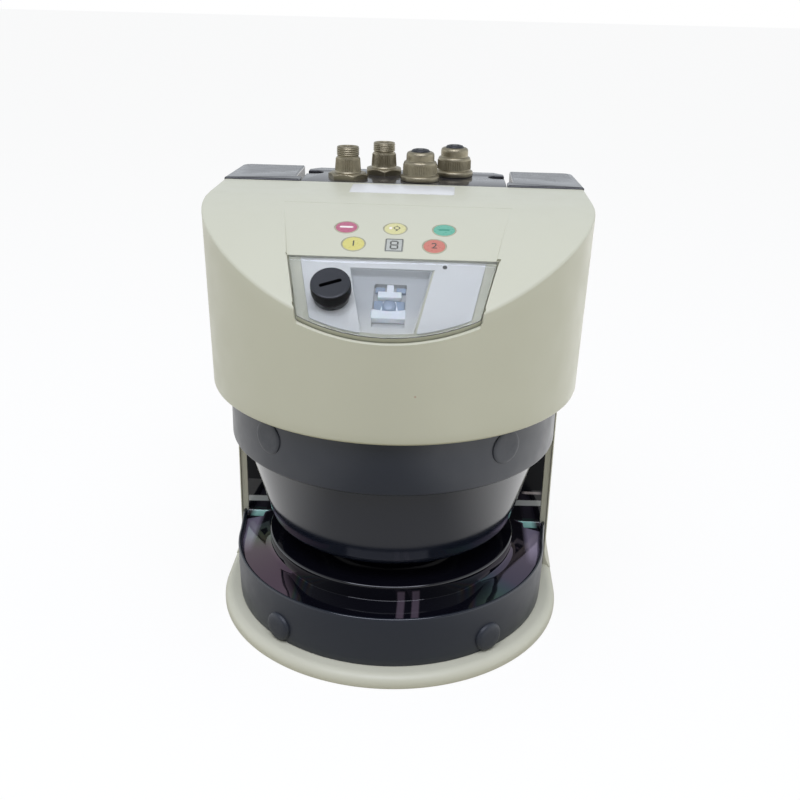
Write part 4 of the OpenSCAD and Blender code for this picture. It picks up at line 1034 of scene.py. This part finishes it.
def knurlTree():
    # a ring of upright ridges round a turned part
    tree = bpy.data.node_groups.new("knurlRing", "GeometryNodeTree")
    for name, kind, value in (("Ribs", "Int", 40), ("Radius", "Float", 0.005), ("Rib Size", "Float", 0.0004),
                              ("Height", "Float", 0.005), ("Lean", "Float", 0.0), ("Place", "Vector", (0, 0, 0)),
                              ("Metal", "Material", None)):
        socket = tree.interface.new_socket(name, in_out="INPUT", socket_type="NodeSocket" + kind)
        if value is not None:
            socket.default_value = value
    tree.interface.new_socket("Geometry", in_out="OUTPUT", socket_type="NodeSocketGeometry")
    given = addNode(tree, "NodeGroupInput").outputs
    ring = addNode(tree, "GeometryNodeMeshCircle", {"Vertices": given["Ribs"], "Radius": given["Radius"]})
    size = addNode(tree, "CombineXYZ", (given["Rib Size"], given["Rib Size"], given["Height"]))
    rib = addNode(tree, "GeometryNodeMeshCube", {"Size": size})
    diamond = addNode(tree, "GeometryNodeTransform", {"Geometry": rib, "Rotation": (0, 0, math.pi / 4)})
    tilt = addNode(tree, "CombineXYZ", {"Y": given["Lean"]})
    leaning = addNode(tree, "GeometryNodeTransform", {"Geometry": diamond, "Rotation": tilt})
    place = addNode(tree, "GeometryNodeInputPosition")
    outward = addNode(tree, "FunctionNodeAlignRotationToVector", {"Vector": place}, axis="X", pivot_axis="Z")
    ribs = addNode(tree, "GeometryNodeInstanceOnPoints", {"Points": ring, "Instance": leaning, "Rotation": outward})
    real = addNode(tree, "GeometryNodeRealizeInstances", {"Geometry": ribs})
    moved = addNode(tree, "GeometryNodeTransform", {"Geometry": real, "Translation": given["Place"]})
    coated = addNode(tree, "GeometryNodeSetMaterial", {"Geometry": moved, "Material": given["Metal"]})
    addNode(tree, "NodeGroupOutput", (coated,))
    return tree


def grown(tree, name, values):  # runs a tree with those inputs and gives its plain mesh
    made = show(bpy.data.objects.new(name, bpy.data.meshes.new(name)))
    step = made.modifiers.new("grow", "NODES")
    step.node_group = tree
    for item in tree.interface.items_tree:
        if item.in_out == "INPUT" and item.name in values:
            step[item.identifier] = values[item.name]
    result = bpy.data.meshes.new_from_object(made.evaluated_get(bpy.context.evaluated_depsgraph_get()))
    remove(made)
    return result


def ridged(r, depth, z0, z1, pitch):  # a thread's ridges as a turned profile
    count = round((z1 - z0) / pitch)
    out = []
    for k in range(count):
        z = z0 + (z1 - z0) * k / count
        out += [(r - depth, z), (r, z + pitch * 0.35), (r, z + pitch * 0.6)]
    return out + [(r - depth, z1)]


# places, knurl as (radius, low, high, lean), and profiles above the plate; below hexTop the male body is a hexagon
male = {"places": ((-22.4, 44), (-9, 58)), "turns": (8, 25), "corner": 8.05, "hexTop": 2.6, "ribs": 46,
        "knurl": (4.83, 3.2, 7.9, 0.075),
        "profile": [(9, 0.0), (9, 0.5), (9, 1.0), (9, 1.35), (8.0, 1.62), (7.6, 1.85), (7.2, 2.1), (6.9, 2.32), (6.2, 2.5),
                    (5.35, 2.55), (5.15, 2.75), (5.02, 3.1), (4.85, 4.5), (4.72, 6.0), (4.62, 8.0), (4.5, 8.35), (4.2, 8.5),
                    (4.15, 8.65), (4.15, 8.9)] + ridged(4.42, 0.24, 9.0, 12.0, 0.75)
        + [(4.3, 12.2), (4.15, 12.38), (3.72, 12.38), (3.6, 12.2), (3.6, 8.0), (3.6, 6.8), (0, 6.8)]}
female = {"places": ((6.2, 44), (19.6, 58)), "ribs": 60, "knurl": (6.62, 2.9, 6.3, 0.02),
          "profile": [(0, 0), (7.4, 0), (7.62, 0.15), (7.7, 0.5), (7.7, 1.5), (7.62, 1.8), (7.4, 2.05), (7.0, 2.25),
                      (6.72, 2.4), (6.68, 2.7), (6.6, 5.0), (6.55, 6.5), (6.45, 7.0), (6.2, 7.4), (5.85, 7.62), (5.6, 7.7), (5.52, 7.95),
                      (5.5, 8.3), (5.5, 9.6), (5.42, 10.3), (5.15, 10.8), (4.7, 11.1), (4.1, 11.25), (3.85, 11.2),
                      (3.7, 11.0), (3.7, 9.5), (0, 9.5)],
          "insert": [(0, 12.2), (1.6, 12.2), (2.6, 12.1), (3.2, 11.9), (3.5, 11.6), (3.62, 11.2), (3.62, 9.6), (0, 9.6)]}


def onPlate(x0, y0):  # a frame standing on the connector plate at that place
    return lambda x, y, z: Vector((x0 + x, y0 + y, plate["top"] + z))


def hexRadius(degrees, acrossCorners):
    return acrossCorners * math.cos(math.radians(30)) / math.cos(math.radians(degrees % 60 - 30))


def hexagonal(turn):  # limits a turned part's radius to a hexagon, below hexTop
    def place(x, y, z):
        r = math.hypot(x, y)
        if r > 1e-6 and z < male["hexTop"]:
            share = min(1, hexRadius(math.degrees(math.atan2(y, x)) + turn, male["corner"]) / r)
            return x * share, y * share, z
        return x, y, z
    return place


knurl = knurlTree()
for kind, table in (("male", male), ("female", female)):
    radius, low, high, lean = table["knurl"]
    for k, (x0, y0) in enumerate(table["places"]):
        key, stand = str(k + 1), onPlate(x0, y0)
        mesh = bmesh.new()
        if kind == "male":
            limit = hexagonal(male["turns"][k])
            made = lathe(mesh, table["profile"], 96, lambda x, y, z: stand(*limit(x, y, z)))
            mesh.faces.new(made[0])
        else:
            lathe(mesh, table["profile"], 96, stand)
        bmesh.ops.scale(mesh, vec=(millimetre,) * 3, verts=mesh.verts)
        ribs = grown(knurl, "ribs", {
            "Ribs": table["ribs"], "Radius": (radius - 0.14) * millimetre, "Rib Size": 0.42 * millimetre,
            "Height": (high - low) * millimetre, "Lean": -lean, "Place": stand(0, 0, (low + high) / 2) * millimetre,
            "Metal": nickelBrass})
        mesh.from_mesh(ribs)
        bpy.data.meshes.remove(ribs)
        shell = toObject(mesh, kind + "Shell" + key, nickelBrass, sharp=38, scale=1.0)
        settle(shell, "nickel", replaced=(kind + "_shell_" + key,))
for k, (x0, y0) in enumerate(female["places"]):
    insert = toObject(turned(female["insert"], 48, onPlate(x0, y0)), "femaleInsert" + str(k + 1), insertNylon)
    carve(insert, [cutter(circle(x0 + p.x, y0 + p.y, 0.5, 16), 170.5, 174) for p in arc(0, 0, 1.9, 45, 315, 3)])
    settle(insert, "black_plastic", replaced=("female_insert_" + str(k + 1),))
print("stage: connectors")

# studio: a pale floor that keeps a soft shadow, a soft overhead light, and a room that is brighter to the sides and behind
studio = {"floor": "#AFA789", "floorSeen": "#F8F8F7", "floorWhite": 0.88, "front": 0.5, "beside": 0.65, "right": 0.5,
          "top": 8.9, "topPlace": (-0.02, -0.54, 0.98), "topSize": (1.0, 0.6), "topColour": (0.83, 0.86, 1.0),
          "tint": (0.9, 0.945, 1, 1), "room": 0.24, "side": 1.5, "behind": 0.15, "mirrored": 0.5, "zenith": 0.9}

floorPaint = bpy.data.materials.new("studioFloorPaint")
floorPaint.use_nodes = True
tree = floorPaint.node_tree
matt = tree.nodes["Principled BSDF"]
rays = addNode(tree, "LightPath").outputs
pale = addNode(tree, "Mix", {0: rays["Is Camera Ray"], 6: linear(studio["floor"]), 7: linear(studio["floorSeen"])},
               data_type="RGBA")
tree.links.new(pale.outputs[2], matt.inputs["Base Color"])
matt.inputs["Roughness"].default_value = 0.9
# what a glossy ray meets: darker in front of the object, brighter beside it, brightest on its right
_, across, y, z = placeIn(tree)
sides = studio["front"] + studio["beside"]
brightest = addNode(tree, "MapRange", (across, -0.13, 0.13, sides, sides + studio["right"]))
aside = addNode(tree, "Math", (across,), operation="ABSOLUTE")
gleam = addNode(tree, "MapRange", (aside, 0.05, 0.13, studio["front"], brightest), interpolation_type="SMOOTHSTEP")
power = addNode(tree, "Mix", {0: rays["Is Glossy Ray"], 2: 1.0, 3: gleam})
seen = addNode(tree, "Math", (rays["Is Camera Ray"], studio["floorWhite"]), operation="MULTIPLY")
share = addNode(tree, "Math", (seen, rays["Is Glossy Ray"]), operation="MAXIMUM")
white = addNode(tree, "Emission", ((1, 1, 1, 1), power))
mix = addNode(tree, "MixShader", (share, matt, white))
tree.links.new(mix.outputs[0], tree.nodes["Material Output"].inputs["Surface"])
floorMesh = bmesh.new()
skin(floorMesh, [[Vector((x, y, 0)) for x in (-9000, 9000)] for y in (-9000, 9000)])
toObject(floorMesh, "studioFloor", floorPaint)

data = bpy.data.lights.new("topLight", "AREA")
data.shape, (data.size, data.size_y) = "RECTANGLE", studio["topSize"]
data.energy, data.color = studio["top"], studio["topColour"]
lamp = show(bpy.data.objects.new("topLight", data))
lamp.location = Vector(studio["topPlace"])
lamp.rotation_euler = (Vector((0, 0, 0.1)) - lamp.location).to_track_quat("-Z", "Y").to_euler()

world = bpy.data.worlds.new("studioWorld")
bpy.context.scene.world = world
world.use_nodes = True
sky = world.node_tree
x, y, z = addNode(sky, "SeparateXYZ", (addNode(sky, "TexCoord").outputs["Generated"],)).outputs
rays = addNode(sky, "LightPath").outputs
sideways = addNode(sky, "Math", (addNode(sky, "Math", (x,), operation="ABSOLUTE"), 4.0), operation="POWER")
above = addNode(sky, "Math", (addNode(sky, "Math", (z, 0.0), operation="MAXIMUM"), 8.0), operation="POWER")
backwards = addNode(sky, "Math", (y, 0.0), operation="MAXIMUM")
behind = addNode(sky, "Math", (rays["Is Glossy Ray"], studio["mirrored"], studio["behind"]), operation="MULTIPLY_ADD")
level = addNode(sky, "Math", (sideways, studio["side"], studio["room"]), operation="MULTIPLY_ADD")
level = addNode(sky, "Math", (above, studio["zenith"], level), operation="MULTIPLY_ADD")
level = addNode(sky, "Math", (backwards, behind, level), operation="MULTIPLY_ADD")
# the camera, also through the clear panel, sees plain white
seen = addNode(sky, "Math", (rays["Is Camera Ray"], rays["Is Transmission Ray"]), operation="MAXIMUM")
strength = addNode(sky, "Mix", {0: seen, 2: level, 3: 1.0})
tint = addNode(sky, "Mix", {0: seen, 6: studio["tint"], 7: (1, 1, 1, 1)}, data_type="RGBA")
sky.links.new(tint.outputs[2], sky.nodes["Background"].inputs["Color"])
sky.links.new(strength.outputs[0], sky.nodes["Background"].inputs["Strength"])
bpy.context.scene.view_settings.view_transform = "Standard"

for material, names in (
        (insertNylon, "bottom_cover male_insert_1 male_insert_2 optics_barrel mirror_carrier encoder_sensor"),
        (zincSteel, "bottom_screws window_screws head_screws board_pillars board_screws"), (turnedBrass, "mount_inserts"),
        (nitrileRubber, "optics_seal connector_seals"), (blackSteel, "plate_screws encoder_disc"), (giltBronze, "contact_pins"),
        (nickelBrass, "lock_nuts laser_module"), (knobAcetal, "service_socket"), (castAluminium, "chassis_plate"),
        (solderMask, "display_board main_board power_board receiver_board"), (lensGlass, "receiver_lens"),
        (silverMirror, "fold_mirror deflection_mirror"), (groundSteel, "rotor_shaft motor_bearings"), (motorSteel, "motor")):
    for name in names.split():
        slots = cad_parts[name].data.materials
        slots.clear()
        slots.append(material)
print("stage: CAD nodes painted")
